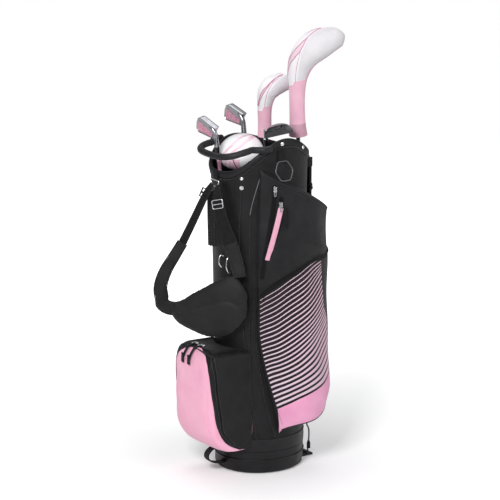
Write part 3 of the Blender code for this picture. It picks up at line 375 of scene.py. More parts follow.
def closed_mesh(name, points, faces, **maps):
    """A mesh with its faces turned outwards; a map gives a pair for each corner of each face."""
    mesh = bpy.data.meshes.new(name)
    mesh.from_pydata([tuple(point) for point in points], [], faces)
    for title, pairs in maps.items():
        layer = mesh.uv_layers.new(name=title)
        flat = np.array([pair for face in pairs for pair in face], dtype=np.float32)
        layer.data.foreach_set("uv", flat.ravel())
    work = bmesh.new()
    work.from_mesh(mesh)
    work.normal_update()
    bmesh.ops.recalc_face_normals(work, faces=work.faces)
    work.to_mesh(mesh)
    work.free()
    return mesh


def ring_quads(rows, around):
    """The quads between rings of points, and each one's corners as (round, up) steps."""
    quads, corners = [], []
    for j in range(rows):
        for i in range(around):
            k = (i + 1) % around
            quads.append((j * around + i, j * around + k, (j + 1) * around + k,
                          (j + 1) * around + i))
            corners.append(((i, j), (i + 1, j), (i + 1, j + 1), (i, j + 1)))
    return quads, corners


def sweep(name, path, section, across=None, closed=False):
    """A closed skin: the section, one list or one for each share of the path, carried along."""
    base = frames(path, across, closed)
    last = len(path) - 1
    rings = [section(i / last) if callable(section) else section for i in range(len(path))]
    sides = len(rings[0])
    points = [point + side * x + out * y
              for point, (along, side, out), ring in zip(path, base, rings) for x, y in ring]
    run = [0.0]
    for i in range(len(path)):
        run.append(run[-1] + (path[(i + 1) % len(path)] - path[i]).length)
    girth = [0.0]
    for j in range(sides):
        a, b = rings[0][j], rings[0][(j + 1) % sides]
        girth.append(girth[-1] + math.hypot(b[0] - a[0], b[1] - a[1]))
    faces, uvs = [], []
    for i in range(len(path) if closed else last):
        k = (i + 1) % len(path)
        for j in range(sides):
            m = (j + 1) % sides
            faces.append((i * sides + j, i * sides + m, k * sides + m, k * sides + j))
            uvs.append(((girth[j], run[i]), (girth[j + 1], run[i]),
                        (girth[j + 1], run[i + 1]), (girth[j], run[i + 1])))
    if not closed:
        faces += [tuple(reversed(range(sides))), tuple(last * sides + j for j in range(sides))]
        uvs += [[(x, y) for x, y in reversed(rings[0])], [(x, y) for x, y in rings[-1]]]
    return closed_mesh(name, points, faces, metres=uvs)


def skin(name, place, across, up, flat, layers=2):
    """A closed cushion-like skin through place(u, v, w); flat(u, v) is its map in metres."""
    points, key = [], {}

    def corner(i, j, k):
        spot = (i, j, k)
        if spot not in key:
            key[spot] = len(points)
            points.append(place(i / across, j / up, k / layers))
        return key[spot]

    faces, uvs = [], []

    def quad(*spots):
        faces.append([corner(*spot) for spot in spots])
        uvs.append([flat(i / across, j / up) for i, j, k in spots])

    for i in range(across):
        for j in range(up):
            quad((i, j, layers), (i + 1, j, layers), (i + 1, j + 1, layers), (i, j + 1, layers))
            quad((i, j, 0), (i, j + 1, 0), (i + 1, j + 1, 0), (i + 1, j, 0))
    for k in range(layers):
        for i in range(across):
            quad((i, 0, k), (i + 1, 0, k), (i + 1, 0, k + 1), (i, 0, k + 1))
            quad((i, up, k), (i, up, k + 1), (i + 1, up, k + 1), (i + 1, up, k))
        for j in range(up):
            quad((0, j, k), (0, j, k + 1), (0, j + 1, k + 1), (0, j + 1, k))
            quad((across, j, k), (across, j + 1, k), (across, j + 1, k + 1), (across, j, k + 1))
    return closed_mesh(name, points, faces, metres=uvs)


BODY_OF = {node: body for body, nodes in frame["record"]["behaviour"]["bodies"].items()
           for node in nodes}
SLOT_OF = {part["node"]: part["material_slot"] for part in frame["record"]["subparts"]}
print("nodes:", len(BODY_OF))


def piece(name, mesh, finish, body, slot, replaces=(), smooth=60.0):
    """Give a mesh its finish, shade it, hang it on its body and let it stand for its solids."""
    mesh.name = name
    if finish is not None:
        mesh.materials.clear()
        mesh.materials.append(finish)
    made = bpy.data.objects.new(name, mesh)
    scene.collection.objects.link(made)
    mesh.polygons.foreach_set("use_smooth", [True] * len(mesh.polygons))
    mesh.set_sharp_from_angle(angle=math.radians(smooth))
    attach(made, body)
    if replaces:
        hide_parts(*replaces)
    return made


def stand_in(name, mesh, finish, node, smooth=60.0):
    """A piece that stands for one solid and takes its body."""
    return piece(name, mesh, finish, BODY_OF[node], SLOT_OF[node], (node,), smooth)


def trim(name, mesh, finish=None):
    """Piping, binding or another cord that is sewn to the bag."""
    return piece(name, mesh, finish or BLACK_PIPING, "bag", "black webbing")


def settle(made):
    """Turn an object's live modifiers into plain mesh."""
    made_mesh = bpy.data.meshes.new_from_object(
        made.evaluated_get(bpy.context.evaluated_depsgraph_get()))
    made.modifiers.clear()
    made.data = made_mesh
    return made


def joined(meshes, name):
    """Several meshes as one, keeping the map called metres."""
    work = bmesh.new()
    for mesh in meshes:
        work.from_mesh(mesh)
    whole = bpy.data.meshes.new(name)
    work.to_mesh(whole)
    work.free()
    return whole


def softened(node, finish, bevel_mm=0.8, smooth=35.0, segments=2):
    """A copy of a solid from the frame, its loose triangles merged and its edges rounded."""
    source = frame["nodes"][node]
    work = bmesh.new()
    work.from_mesh(source.data)
    bmesh.ops.remove_doubles(work, verts=work.verts, dist=0.00002)
    bmesh.ops.dissolve_limit(work, angle_limit=math.radians(1.0), verts=work.verts,
                             edges=work.edges)
    mesh = bpy.data.meshes.new(node + "_shape")
    work.to_mesh(mesh)
    work.free()
    made = bpy.data.objects.new(node + "_shape", mesh)
    scene.collection.objects.link(made)
    if bevel_mm:
        edge = made.modifiers.new("edge", "BEVEL")
        edge.width = bevel_mm / 1000.0
        edge.segments = segments
        edge.limit_method = "ANGLE"
        edge.angle_limit = math.radians(smooth)
        edge.use_clamp_overlap = True
        settle(made)
    shape = made.data
    bpy.data.objects.remove(made)
    return stand_in(node + "_shape", shape, finish, node, smooth)

# %% [markdown]
# ## What repeats along a line
# Stitches, zip teeth and eyelets are one small shape set again and again along a seam. Each
# Geometry Nodes tree below takes a line whose points know which way is out, cuts it at an even
# pitch, sets the shape on each point, and turns the result into plain mesh.

# %% One tree for each small shape
def repeat_tree(name, shape):
    """Lay a small shape along a line; pitch, size and finish are inputs."""
    group = bpy.data.node_groups.new(name, "GeometryNodeTree")
    for title, kind in (("Line", "Geometry"), ("Pitch", "Float"), ("Size", "Vector"),
                        ("Finish", "Material")):
        group.interface.new_socket(title, in_out="INPUT", socket_type="NodeSocket" + kind)
    group.interface.new_socket("Row", in_out="OUTPUT", socket_type="NodeSocketGeometry")
    given = add(group, "NodeGroupInput")
    line = add(group, "GeometryNodeMeshToCurve", {"Mesh": given.outputs["Line"]})
    cut = add(group, "GeometryNodeResampleCurve", {"Curve": line.outputs[0],
                                                   "Length": given.outputs["Pitch"]},
              mode="LENGTH")
    out = add(group, "GeometryNodeInputNamedAttribute", {"Name": "out"},
              data_type="FLOAT_VECTOR")
    upright = add(group, "FunctionNodeAlignRotationToVector",
                  {"Vector": out.outputs["Attribute"]}, axis="Z")
    turned = add(group, "FunctionNodeAlignRotationToVector",
                 {"Rotation": upright.outputs[0],
                  "Vector": add(group, "GeometryNodeInputTangent").outputs[0]},
                 axis="Y", pivot_axis="Z")
    if shape == "bead":
        body = add(group, "GeometryNodeMeshUVSphere", {"Segments": 8, "Rings": 5,
                                                       "Radius": 0.5})
    else:
        body = add(group, "GeometryNodeMeshCylinder", {"Vertices": 12, "Radius": 0.5,
                                                       "Depth": 1.0})
    laid = add(group, "GeometryNodeInstanceOnPoints",
               {"Points": cut.outputs[0], "Instance": body.outputs["Mesh"],
                "Rotation": turned.outputs[0], "Scale": given.outputs["Size"]})
    real = add(group, "GeometryNodeRealizeInstances", {0: laid.outputs[0]})
    dyed = add(group, "GeometryNodeSetMaterial", {"Geometry": real.outputs[0],
                                                  "Material": given.outputs["Finish"]})
    add(group, "NodeGroupOutput", {"Row": dyed.outputs[0]})
    return group


STITCH_TREE = repeat_tree("stitches_along_seam", "bead")
TOOTH_TREE = repeat_tree("teeth_along_zip", "bead")
DISC_TREE = repeat_tree("eyelets_along_strap", "disc")


def row_along(name, tree, lines, pitch, size, finish, body, slot, smooth=60.0):
    """Run a repeat tree over lines of (point, out) pairs and keep the mesh it makes."""
    points, edges, outs = [], [], []
    for line in lines:
        start = len(points)
        points += [tuple(point) for point, out in line]
        outs += [tuple(out) for point, out in line]
        edges += [(start + i, start + i + 1) for i in range(len(line) - 1)]
    mesh = bpy.data.meshes.new(name)
    mesh.from_pydata(points, edges, [])
    layer = mesh.attributes.new("out", "FLOAT_VECTOR", "POINT")
    layer.data.foreach_set("vector", np.array(outs, dtype=np.float32).ravel())
    made = bpy.data.objects.new(name, mesh)
    scene.collection.objects.link(made)
    run = made.modifiers.new("row", "NODES")
    run.node_group = tree
    ids = {item.name: item.identifier for item in tree.interface.items_tree
           if item.in_out == "INPUT"}
    run[ids["Pitch"]] = pitch
    run[ids["Size"]] = size
    run[ids["Finish"]] = finish
    settle(made)
    row = made.data
    bpy.data.objects.remove(made)
    return piece(name, row, None, body, slot, (), smooth)


THREAD = nylon("polyester_thread", "#19191B", "#242427", uv=False, crease=0.05)
STITCH = (0.0009, 0.0030, 0.0007)

# %% [markdown]
# ## The bag's oval
# Boot, body, collar and pockets all follow one oval that widens from the boot to the collar. Its
# sizes are read from the frame's solids, so every skin lies on the solid that it stands for.

# %% The oval and the rim
boot_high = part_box("bag_base")[1]
collar_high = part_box("top_collar")[1]
BOOT_X, BOOT_Y, BOOT_HEIGHT = boot_high.x, boot_high.y, boot_high.z
GAP = 0.0003
COLLAR_LOW = 0.775              # height of the rim on the spine side
BODY_TOP_X = 0.124              # half length of the body at that height
BODY_TOP_Y = 0.112
COLLAR_BAND = 0.018
COLLAR_WALL = 0.0045
SHOULDER_NEAR = collar_high.z - COLLAR_LOW - 0.001
SHOULDER_FAR = 0.054
LEG_RISE = 0.026


def body_axes(z):
    """Half length and half width of the body at a height."""
    share = (z - BOOT_HEIGHT) / (COLLAR_LOW - BOOT_HEIGHT)
    return (BOOT_X + (BODY_TOP_X - BOOT_X) * share,
            BOOT_Y - 0.001 + (BODY_TOP_Y - BOOT_Y) * share)


def oval_point(angle, z, out=0.0):
    """A point at an angle in degrees round the body, moved out along the normal."""
    a, b = body_axes(z)
    turn = math.radians(angle)
    normal = Vector((math.cos(turn) / a, math.sin(turn) / b, 0.0)).normalized()
    return Vector((a * math.cos(turn), b * math.sin(turn), z)) + normal * out


def oval_out(angle, z=COLLAR_LOW):
    return (oval_point(angle, z, 1.0) - oval_point(angle, z)).normalized()


def rim(angle):
    """Height of the collar's rim: low on the spine, a shoulder on each flank."""
    turn = math.radians(angle)
    near = max(0.0, -math.sin(turn)) ** 3
    far = max(0.0, math.sin(turn)) ** 3
    leg = max(0.0, math.cos(turn)) ** 2
    return COLLAR_LOW + SHOULDER_NEAR * near + SHOULDER_FAR * far + LEG_RISE * leg


def along_oval(track, count, out=0.0):
    """A path on the body through (angle, height) points, with the way out at each point."""
    flat = smooth_path([(angle, z * 1000.0, 0.0) for angle, z in track], count)
    return [(oval_point(p.x, p.y / 1000.0, out), oval_out(p.x, p.y / 1000.0)) for p in flat]


def bone(line):
    """The points of a (point, out) line."""
    return [point for point, out in line]


print("oval at the boot %.0f x %.0f mm" % (2000 * BOOT_X, 2000 * BOOT_Y))

# %% [markdown]
# ## Fabric body
# The body is one tube of coated nylon, sewn from panels. It is pulled taut between boot and
# collar, so it only sags a few millimetres between its stays. A grid round the oval carries that
# sag as a sum of slow waves, and the welted seams lie on it as thin cords.

# %% Body skin
AROUND = 220
UPWARDS = 150
CLOTH_WALL = 0.0018
BASE_TOP = 0.089                # top of the coated band above the boot


def sag(angle, z):
    """How far the cloth moves in or out: slow folds, none at the boot and the collar."""
    turn = math.radians(angle)
    hold = max(0.0, min(1.0, (z - BOOT_HEIGHT) / 0.10)) * max(0.0, min(1.0, (0.76 - z) / 0.10))
    folds = (0.50 * math.sin(5 * turn + 9.0 * z + 0.6) + 0.35 * math.sin(9 * turn - 14.0 * z)
             + 0.30 * math.sin(3 * turn + 23.0 * z + 1.4) + 0.2 * math.sin(15 * turn + 31.0 * z))
    return 0.0011 * hold * folds - 0.0010 * hold


def body_skin():
    """Two layers of cloth, joined along the foot and along the rim."""
    points = []
    for inset in (0.0, -CLOTH_WALL):
        for j in range(UPWARDS + 1):
            for i in range(AROUND):
                angle = 360.0 * i / AROUND
                top = rim(angle) - COLLAR_BAND - GAP
                z = BOOT_HEIGHT + GAP + (top - BOOT_HEIGHT - GAP) * j / UPWARDS
                points.append(oval_point(angle, z, sag(angle, z) + inset))
    count = AROUND * (UPWARDS + 1)
    quads, corners = ring_quads(UPWARDS, AROUND)
    flat = [[(0.75 * a / AROUND, 0.75 * b / UPWARDS) for a, b in spots] for spots in corners]
    faces = quads + [[count + q for q in quad[::-1]] for quad in quads]
    uvs = flat + [spots[::-1] for spots in flat]
    for j, turn in ((0, -1), (UPWARDS, 1)):
        for i in range(AROUND):
            here, ahead = j * AROUND + i, j * AROUND + (i + 1) % AROUND
            faces.append((here, ahead, count + ahead, count + here)[::turn])
            uvs.append([(0.0, 0.0)] * 4)
    return closed_mesh("bag_cloth", points, faces, metres=uvs)


stand_in("bag_cloth", body_skin(), BODY_NYLON, "bag_body")

# %% Panel seams, hems and the reflective piping
def cord_on_body(track, radius):
    return sweep("seam", bone(along_oval(track, 60, 0.0006)), circle(radius, 10))


REFLECTIVE = [(-118.5, 0.783), (-125.5, 0.735), (-130.5, 0.6975), (-133.0, 0.6725)]
SEAMS = [[(-133.0, 0.6725), (-133.5, 0.56), (-133.8, 0.455), (-134.0, 0.36), (-133.5, 0.30),
          (-132.0, 0.1875), (-126.5, 0.0905)],
         [(-143.0, 0.745), (-146.0, 0.62), (-146.5, 0.50), (-144.0, 0.40), (-141.0, 0.36),
          (-136.0, 0.26), (-129.5, 0.15), (-126.5, 0.0905)],
         [(-126.5, 0.3525), (-118.0, 0.22), (-109.0, 0.14), (-102.0, 0.0955)],
         [(127.0, 0.0905), (132.0, 0.19), (134.0, 0.36), (133.5, 0.56), (128.0, 0.74)],
         [(60.0, 0.0905), (62.0, 0.3), (64.0, 0.55), (66.0, 0.78)],
         [(20.0, 0.0905), (21.0, 0.3), (22.0, 0.55), (23.0, 0.765)],
         [(-20.0, 0.0905), (-21.0, 0.3), (-22.0, 0.55), (-23.0, 0.765)]]
STITCH_BESIDE = 0.0045          # the stitches run this far beside their seam
trim("body_seams", joined([cord_on_body(track, 0.0011) for track in SEAMS], "seams"))
trim("reflective_seam", cord_on_body(REFLECTIVE, 0.0008), SILVER_PIPING)
turned_aside = math.degrees(STITCH_BESIDE / BODY_TOP_X)
stitch_lines = [along_oval([(angle - turned_aside, z) for angle, z in track], 80, 0.0003)
                for track in SEAMS]
row_along("seam_stitches", STITCH_TREE, stitch_lines, 0.0042, STITCH, THREAD, "bag",
          "black webbing")

# %% Bands and cords that run right round
def carried_round(name, count, size, place, flat):
    """A closed section of size points carried round the bag: place(angle, j), flat(i, j)."""
    points = [place(360.0 * i / count, j) for i in range(count) for j in range(size)]
    faces, uvs = [], []
    for i in range(count):
        k = (i + 1) % count
        for j in range(size):
            m = (j + 1) % size
            faces.append((i * size + j, k * size + j, k * size + m, i * size + m))
            uvs.append([flat(a, b) for a, b in ((i, j), (i + 1, j), (i + 1, j + 1), (i, j + 1))])
    return closed_mesh(name, points, faces, metres=uvs)


def hoop(name, height, out, radius, sides=10):
    """A cord round the bag; height(angle) gives where it runs."""
    turns = [360.0 * i / AROUND for i in range(AROUND)]
    return sweep(name, [oval_point(turn, height(turn), out) for turn in turns],
                 circle(radius, sides), closed=True)


BAND_OUT, BAND_WALL, BAND_CROWN = 0.0012, 0.0010, 0.0006
BAND_LOW = BOOT_HEIGHT + GAP
BAND_SECTION = [(BAND_OUT - BAND_WALL, BAND_LOW), (BAND_OUT, BAND_LOW),
                (BAND_OUT + BAND_CROWN, (BAND_LOW + BASE_TOP) / 2), (BAND_OUT, BASE_TOP),
                (BAND_OUT - BAND_WALL, BASE_TOP)]
band = carried_round("base_band", AROUND, len(BAND_SECTION),
                     lambda angle, j: oval_point(angle, BAND_SECTION[j][1], BAND_SECTION[j][0]),
                     lambda a, b: (0.72 * a / AROUND, 0.01 * b))
piece("base_band", band, ABS_SMOOTH, "bag", "black nylon fabric")
trim("base_hem", hoop("base_hem", lambda angle: BASE_TOP, 0.0010, 0.0011))
print("body, seams and base band")

# %% [markdown]
# ## Boot, foot plate and inner frame
# The boot is a moulded cup. Its solid is right, so a copy with merged and rounded edges takes its
# place, with a shallow part line round it, as a two-part mould leaves.

# %% Boot
PART_LINE_Z = 0.036
softened("bag_base", BOOT_PLASTIC, 2.0, 25.0, segments=3)
softened("stand_foot_plate", ABS, 0.8)
piece("boot_part_line", hoop("line", lambda angle: PART_LINE_Z, 0.0016, 0.0013, 8),
      BOOT_PLASTIC, "bag", "moulded black plastic")
for node in ("body_stay_near", "body_stay_far", "club_divider"):
    softened(node, ABS, 0.5)

# %% [markdown]
# ## Collar
# The collar is one moulding: a rounded band along a rim that dips at the spine and rises to a
# shoulder on each flank. Its section is a closed curve that is carried round the oval.

# %% Collar
def smooth_loop(corners, count):
    """A closed smooth outline through a few corners, with some of their squareness kept."""
    ring = []
    total = len(corners)
    for step in range(count):
        place = step * total / count
        i = int(place)
        t = place - i
        a, b, c, d = (Vector(corners[(i + k) % total]) for k in (-1, 0, 1, 2))
        ring.append(tuple(curve_point(a, b, c, d, t).lerp(b.lerp(c, t), 0.5)))
    return ring


COLLAR_INNER, COLLAR_AROUND = -0.006, 240
COLLAR_SECTION = smooth_loop([(COLLAR_INNER, -COLLAR_BAND), (0.0, -COLLAR_BAND),
                              (COLLAR_WALL * 0.8, -COLLAR_BAND * 0.75),
                              (COLLAR_WALL, -COLLAR_BAND * 0.3), (COLLAR_WALL * 0.55, 0.0),
                              (-COLLAR_WALL * 0.4, 0.001), (COLLAR_INNER, -COLLAR_BAND * 0.3)],
                             28)


def collar_place(angle, j):
    out, rise = COLLAR_SECTION[j]
    return oval_point(angle, rim(angle) + rise, out)


collar = carried_round("collar", COLLAR_AROUND, len(COLLAR_SECTION), collar_place,
                       lambda a, b: (0.75 * a / COLLAR_AROUND, 0.05 * b / len(COLLAR_SECTION)))
stand_in("collar", collar, ABS, "top_collar")
trim("collar_edge_binding", hoop("binding", lambda angle: rim(angle) - COLLAR_BAND - 0.0012,
                                 0.0010, 0.0016))
print("boot and collar")

# %% [markdown]
# ## Apparel pocket
# The pocket is the oval pushed outwards, between a slanting top edge and a tapering foot. Its
# face is printed with common pink stripes that thicken towards the foot and sweep up to the leg
# side. The stripes are worked out in the material from a map of the panel: across and up, with
# the sweep taken out, so that each stripe is a straight line in the map.

# %% The pocket's form
POCKET_DEPTH, POCKET_BACK = 0.053, 0.0008
POCKET_LEFT, POCKET_RIGHT = -127.0, -31.0       # degrees round the body
POCKET_TOP, POCKET_TOP_DROP, POCKET_BOTTOM = 0.786, 0.128, 0.104
PANEL_WIDE, PANEL_HIGH = 0.230, 0.560           # flat size of the printed panel
POCKET_ROUND = 0.007                            # radius along the edges of its face


def pocket_left(v):
    """Left edge of the pocket, which moves in towards its foot."""
    return POCKET_LEFT + 30.0 * max(0.0, 1 - v / 0.4) ** 1.4 + 6.0 * v ** 3


def eased(value, soft=0.2):
    """The value held at 1 from above, with a soft bend where it gets there."""
    if value < 1 - soft:
        return value
    return min(1.0, value - (value - 1 + soft) ** 2 / (4 * soft)) if value < 1 + soft else 1.0


def pocket_place(u, v, w):
    """A point of the pocket: round, up and outwards from 0 to 1."""
    left = pocket_left(v)
    angle = left + (POCKET_RIGHT - left) * u
    low = POCKET_BOTTOM + 0.040 * max(u, 0.0) ** 0.5 + 0.045 * max(u, 0.0) ** 8
    high = POCKET_TOP - POCKET_TOP_DROP * max(u, 0.0) ** 1.15
    z = low + (high - low) * v
    rise = eased(0.18 + 1.9 * u)
    crown = 0.30 + 0.70 * max(u, min(1.0, (1 - v) / 0.22), 0.0) ** 0.7
    foot = 0.80 + 0.20 * min(1.0, max(v, 0.0) / 0.08) ** 0.6
    corner = 1.0 - 0.35 * max(0.0, (u - 0.9) / 0.1) ** 2
    full = 1.0 + 0.25 * (1 - v) ** 2
    depth = POCKET_DEPTH * rise * crown * foot * corner * full
    return oval_point(angle, z, POCKET_BACK + w * depth)


def pocket_frame(u, v):
    """A point on the pocket's face with its upward and outward directions."""
    step = 0.01
    point = pocket_place(u, v, 1.0)
    up = (pocket_place(u, v + step, 1.0) - pocket_place(u, v - step, 1.0)).normalized()
    across = pocket_place(u + step, v, 1.0) - pocket_place(u - step, v, 1.0)
    return point, up, across.cross(up).normalized()


def rounding(distance, radius):
    """How far a face falls back near an edge that is rounded to a radius."""
    near = min(1.0, max(0.0, 1.0 - distance / radius))
    return radius * (1.0 - math.sqrt(1.0 - near * near))


def pocket_folds(u, v):
    """Small slow folds of the filled pocket, none at its edges."""
    hold = min(1.0, 12 * u * (1 - u)) * min(1.0, 16 * v * (1 - v))
    return 0.0013 * hold * (math.sin(7.0 * u + 19.0 * v) + 0.7 * math.sin(13.0 * v - 9.0 * u + 1)
                            + 0.5 * math.sin(21.0 * u + 7.0 * v))


def pocket_fall(u, v):
    """How far the face falls back beside its four rounded edges."""
    return (rounding(min(u, 1 - u) * PANEL_WIDE, POCKET_ROUND)
            + rounding(min(v, 1 - v) * PANEL_HIGH, POCKET_ROUND))


def pocket_skin(u, v, w):
    depth = (pocket_place(u, v, 1.0) - pocket_place(u, v, 0.0)).length
    fall = min(0.7 * depth, pocket_fall(u, v))
    share = w * (1.0 - fall / depth) + w * pocket_folds(u, v) / depth
    return pocket_place(u, v, share)


SWEEP_ACROSS = (0.05, 0.20, 0.35, 0.50, 0.65, 0.80, 1.00)
SWEEP = {-2: (0.562, 0.608, 0.667, 0.715, 0.755, 0.780, 0.800),
         0: (0.518, 0.566, 0.628, 0.684, 0.722, 0.740, 0.750),
         5: (0.433, 0.467, 0.522, 0.580, 0.643, 0.705, 0.738),
         11: (0.331, 0.355, 0.397, 0.447, 0.505, 0.570, 0.640),
         17: (0.235, 0.253, 0.285, 0.328, 0.376, 0.440, 0.520),
         25: (0.092, 0.104, 0.123, 0.136, 0.147, 0.157, 0.172)}
FOOT_STRIPE = 25                # the solid panel starts below this stripe
ZIP_STRIPE = -2                 # the plain cloth starts above this one
sweep_lines = {stripe: smooth_path([(u, v, 0.0) for u, v in zip(SWEEP_ACROSS, heights)], 60)
               for stripe, heights in SWEEP.items()}


def stripe_number(u, v):
    """Which stripe passes a point: 0 just below the zip, counted downwards."""
    counts = sorted(SWEEP, reverse=True)
    heights = [float(np.interp(u, [p.x for p in sweep_lines[c]], [p.y for p in sweep_lines[c]]))
               for c in counts]
    if v < heights[0]:
        return counts[0] + (heights[0] - v) / 0.0166
    if v > heights[-1]:
        return counts[-1] - (v - heights[-1]) / 0.025
    return float(np.interp(v, heights, counts))


def second_map(mesh, name, wide, high, rule):
    """A second map, worked out from the first one by rule(u, v)."""
    first = mesh.uv_layers["metres"]
    known = {}
    layer = mesh.uv_layers.new(name=name)
    for item, target in zip(first.data, layer.data):
        u, v = round(item.uv.x / wide, 5), round(item.uv.y / high, 5)
        if (u, v) not in known:
            known[(u, v)] = rule(u, v)
        target.uv = known[(u, v)]
    return mesh


panel = skin("apparel_panel", pocket_skin, 96, 180,
             lambda u, v: (u * PANEL_WIDE, v * PANEL_HIGH), 6)
second_map(panel, "panel", PANEL_WIDE, PANEL_HIGH, lambda u, v: (u, stripe_number(u, v)))

# %% Printed cloth: stripes, a solid foot, a plain top
def mixed(tree, factor, low, high):
    """One colour turning into another."""
    node = add(tree, "ShaderNodeMix", {"Factor": factor, 6: low, 7: high}, data_type="RGBA")
    return node.outputs[2]


def printed_nylon(made, here, colour, fold_mm, fold_depth):
    """Finish a printed nylon: fine threads under slow folds, with a faint sheen."""
    tree = made.node_tree
    threads = weave(tree, uv_place(tree), 0.9)
    folds = noise(tree, here, fold_mm, 2.0, 0.45)
    return finished(made, {
        "Base Color": colour, "Roughness": 0.5, "Sheen Weight": 0.05, "Sheen Roughness": 0.45,
        "Specular IOR Level": 0.26,
        "Normal": bumps(tree, (folds, fold_depth), (threads, 0.04))})


def map_axes(tree, layer="metres"):
    """The two axes of one of a piece's maps."""
    return axes_of(tree, uv_place(tree, layer))


LEFT_STRIP = 0.045


def printed_cloth():
    made, tree, here = new_material("striped_print_nylon")
    u, s = map_axes(tree, "panel")
    plain = shades(tree, here, "#0E0E10", "#1B1B1D", 40.0)
    dark = shades(tree, here, "#0A0A0B", "#101011", 20.0)
    plum = shades(tree, here, "#160B12", "#21121B", 20.0)
    pale = mixed(tree, u, shades(tree, here, "#D4C1CC", "#DBCAD4", 60.0),
                 shades(tree, here, "#DCADC2", "#E1B7CA", 60.0))
    solid = shades(tree, here, "#E59ABE", "#EDAACA", 70.0)
    turn = number(tree, "FRACT", s)
    share = number(tree, "ADD", ramped(tree, s, 0.0, FOOT_STRIPE, 0.17, 0.50),
                   number(tree, "MULTIPLY", number(tree, "MULTIPLY", u, u), 0.40))
    fade = number(tree, "DIVIDE", number(tree, "SUBTRACT", share, turn), 0.07)
    bright = add(tree, "ShaderNodeClamp", {"Value": fade}).outputs[0]
    striped = mixed(tree, bright, plum, pale)
    colour = mixed(tree, number(tree, "LESS_THAN", s, FOOT_STRIPE + 0.02), solid, striped)
    inside = number(tree, "GREATER_THAN", u, number(tree, "ADD", LEFT_STRIP, ramped(
        tree, s, 30.0, FOOT_STRIPE, -LEFT_STRIP, 0.0)))
    right = number(tree, "ADD", ramped(tree, s, 0.0, 14.0, 0.70, 0.75),
                   ramped(tree, s, 13.0, FOOT_STRIPE, 0.0, 0.22))
    inside = number(tree, "MULTIPLY", inside, number(tree, "LESS_THAN", u, right))
    colour = mixed(tree, inside, dark, colour)
    colour = mixed(tree, number(tree, "LESS_THAN", s, 0.0), colour, dark)
    colour = mixed(tree, number(tree, "LESS_THAN", s, ZIP_STRIPE), colour, plain)
    return printed_nylon(made, here, colour, 45.0, 2.6)


stand_in("apparel_panel", panel, printed_cloth(), "apparel_pocket")
print("apparel pocket:", len(panel.polygons), "faces")

# %% Piping round the pocket, and the zip lines that its sliders run on
def face_line(track, count, lift=0.0):
    """(point, out) pairs over the pocket's face along (u, v) points."""
    flat = smooth_path([(u, v, 0.0) for u, v in track], count)
    made = []
    for spot in flat:
        u, v = min(0.985, max(0.004, spot.x)), min(0.992, max(0.006, spot.y))
        point, up, out = pocket_frame(u, v)
        made.append((point + out * (lift - pocket_fall(u, v) + pocket_folds(u, v)), out))
    return made


POCKET_EDGE = [(0.012, 0.987), (0.20, 0.988), (0.45, 0.988), (0.70, 0.988), (0.90, 0.987),
               (0.965, 0.965), (0.975, 0.90), (0.975, 0.70), (0.975, 0.50), (0.975, 0.30),
               (0.975, 0.12), (0.955, 0.03), (0.88, 0.010), (0.60, 0.007), (0.30, 0.007),
               (0.02, 0.008)]
edge_line = face_line(POCKET_EDGE, 260, 0.0004)
trim("pocket_piping", sweep("piping", bone(edge_line), circle(0.0013, 10)))
UPPER_ZIP_LINE = [(0.175, 0.968), (0.165, 0.90), (0.130, 0.80), (0.095, 0.70), (0.060, 0.60)]
RIBBON_ZIP_LINE = [(0.245, 0.935), (0.225, 0.86), (0.205, 0.80)]
SIDE_ZIP_LINE = [(0.976, 0.790), (0.88, 0.764), (0.79, 0.745), (0.65, 0.728), (0.50, 0.696),
                 (0.35, 0.645), (0.20, 0.590), (0.05, 0.530)]


def zip_run(name, track, count):
    """A zip on the pocket: two tapes and the closed teeth between them."""
    line = face_line(track, count, 0.0005)
    path = bone(line)
    outs = [out for point, out in line]
    tape = sweep("tape", path, slab(0.0120, 0.0008, 16), lambda share: outs[
        min(len(outs) - 1, round(share * (len(outs) - 1)))].cross(
        (path[-1] - path[0]).normalized()))
    trim(name + "_tape", tape, ZIP_TAPE)
    row_along(name + "_teeth", TOOTH_TREE, [[(p + out * 0.0008, out) for p, out in line]],
              0.0016, (0.0046, 0.0011, 0.0016), ABS, "bag", "moulded black plastic")


zip_run("upper_zip", UPPER_ZIP_LINE, 90)
zip_run("ribbon_zip", RIBBON_ZIP_LINE, 40)
zip_run("side_zip", SIDE_ZIP_LINE, 120)
stitch_tracks = [[(u, v + 0.016) for u, v in SIDE_ZIP_LINE[1:]],
                 [(u, v - 0.016) for u, v in SIDE_ZIP_LINE[1:]],
                 [(0.035, 0.55), (0.038, 0.40), (0.040, 0.25), (0.042, 0.10), (0.05, 0.03)],
                 [(0.03, 0.973), (0.3, 0.974), (0.6, 0.974), (0.9, 0.973)]]
row_along("pocket_stitches", STITCH_TREE, [face_line(t, 110, 0.0002) for t in stitch_tracks],
          0.0040, STITCH, THREAD, "bag", "black webbing")

# %% [markdown]
# ## Ball pocket
# A pink face with a black gusset behind it, closed by a zip that runs over the top and down the
# side. The line between pink and black is a curve on the unrolled pocket, so the material
# compares each point's distance from the middle of the face with that curve.

# %% The ball pocket's form
BALL_WIDTH, BALL_REACH, BALL_BOTTOM, BALL_TOP = 0.158, 0.207, 0.070, 0.330
PINK_V = (0.0, 0.034, 0.092, 0.185, 0.303, 0.454, 0.61, 0.81, 0.90, 0.95, 0.975, 0.995, 1.0)
PINK_HALF = (0.116, 0.112, 0.103, 0.097, 0.091, 0.085, 0.079, 0.073, 0.065, 0.052, 0.0385,
             0.014, 0.0)
BALL_ZIP_V = (0.0, 0.109, 0.21, 0.336, 0.496, 0.647, 0.83, 0.95, 1.0)
BALL_ZIP_HALF = (0.118, 0.115, 0.1055, 0.105, 0.098, 0.0925, 0.088, 0.072, 0.041)


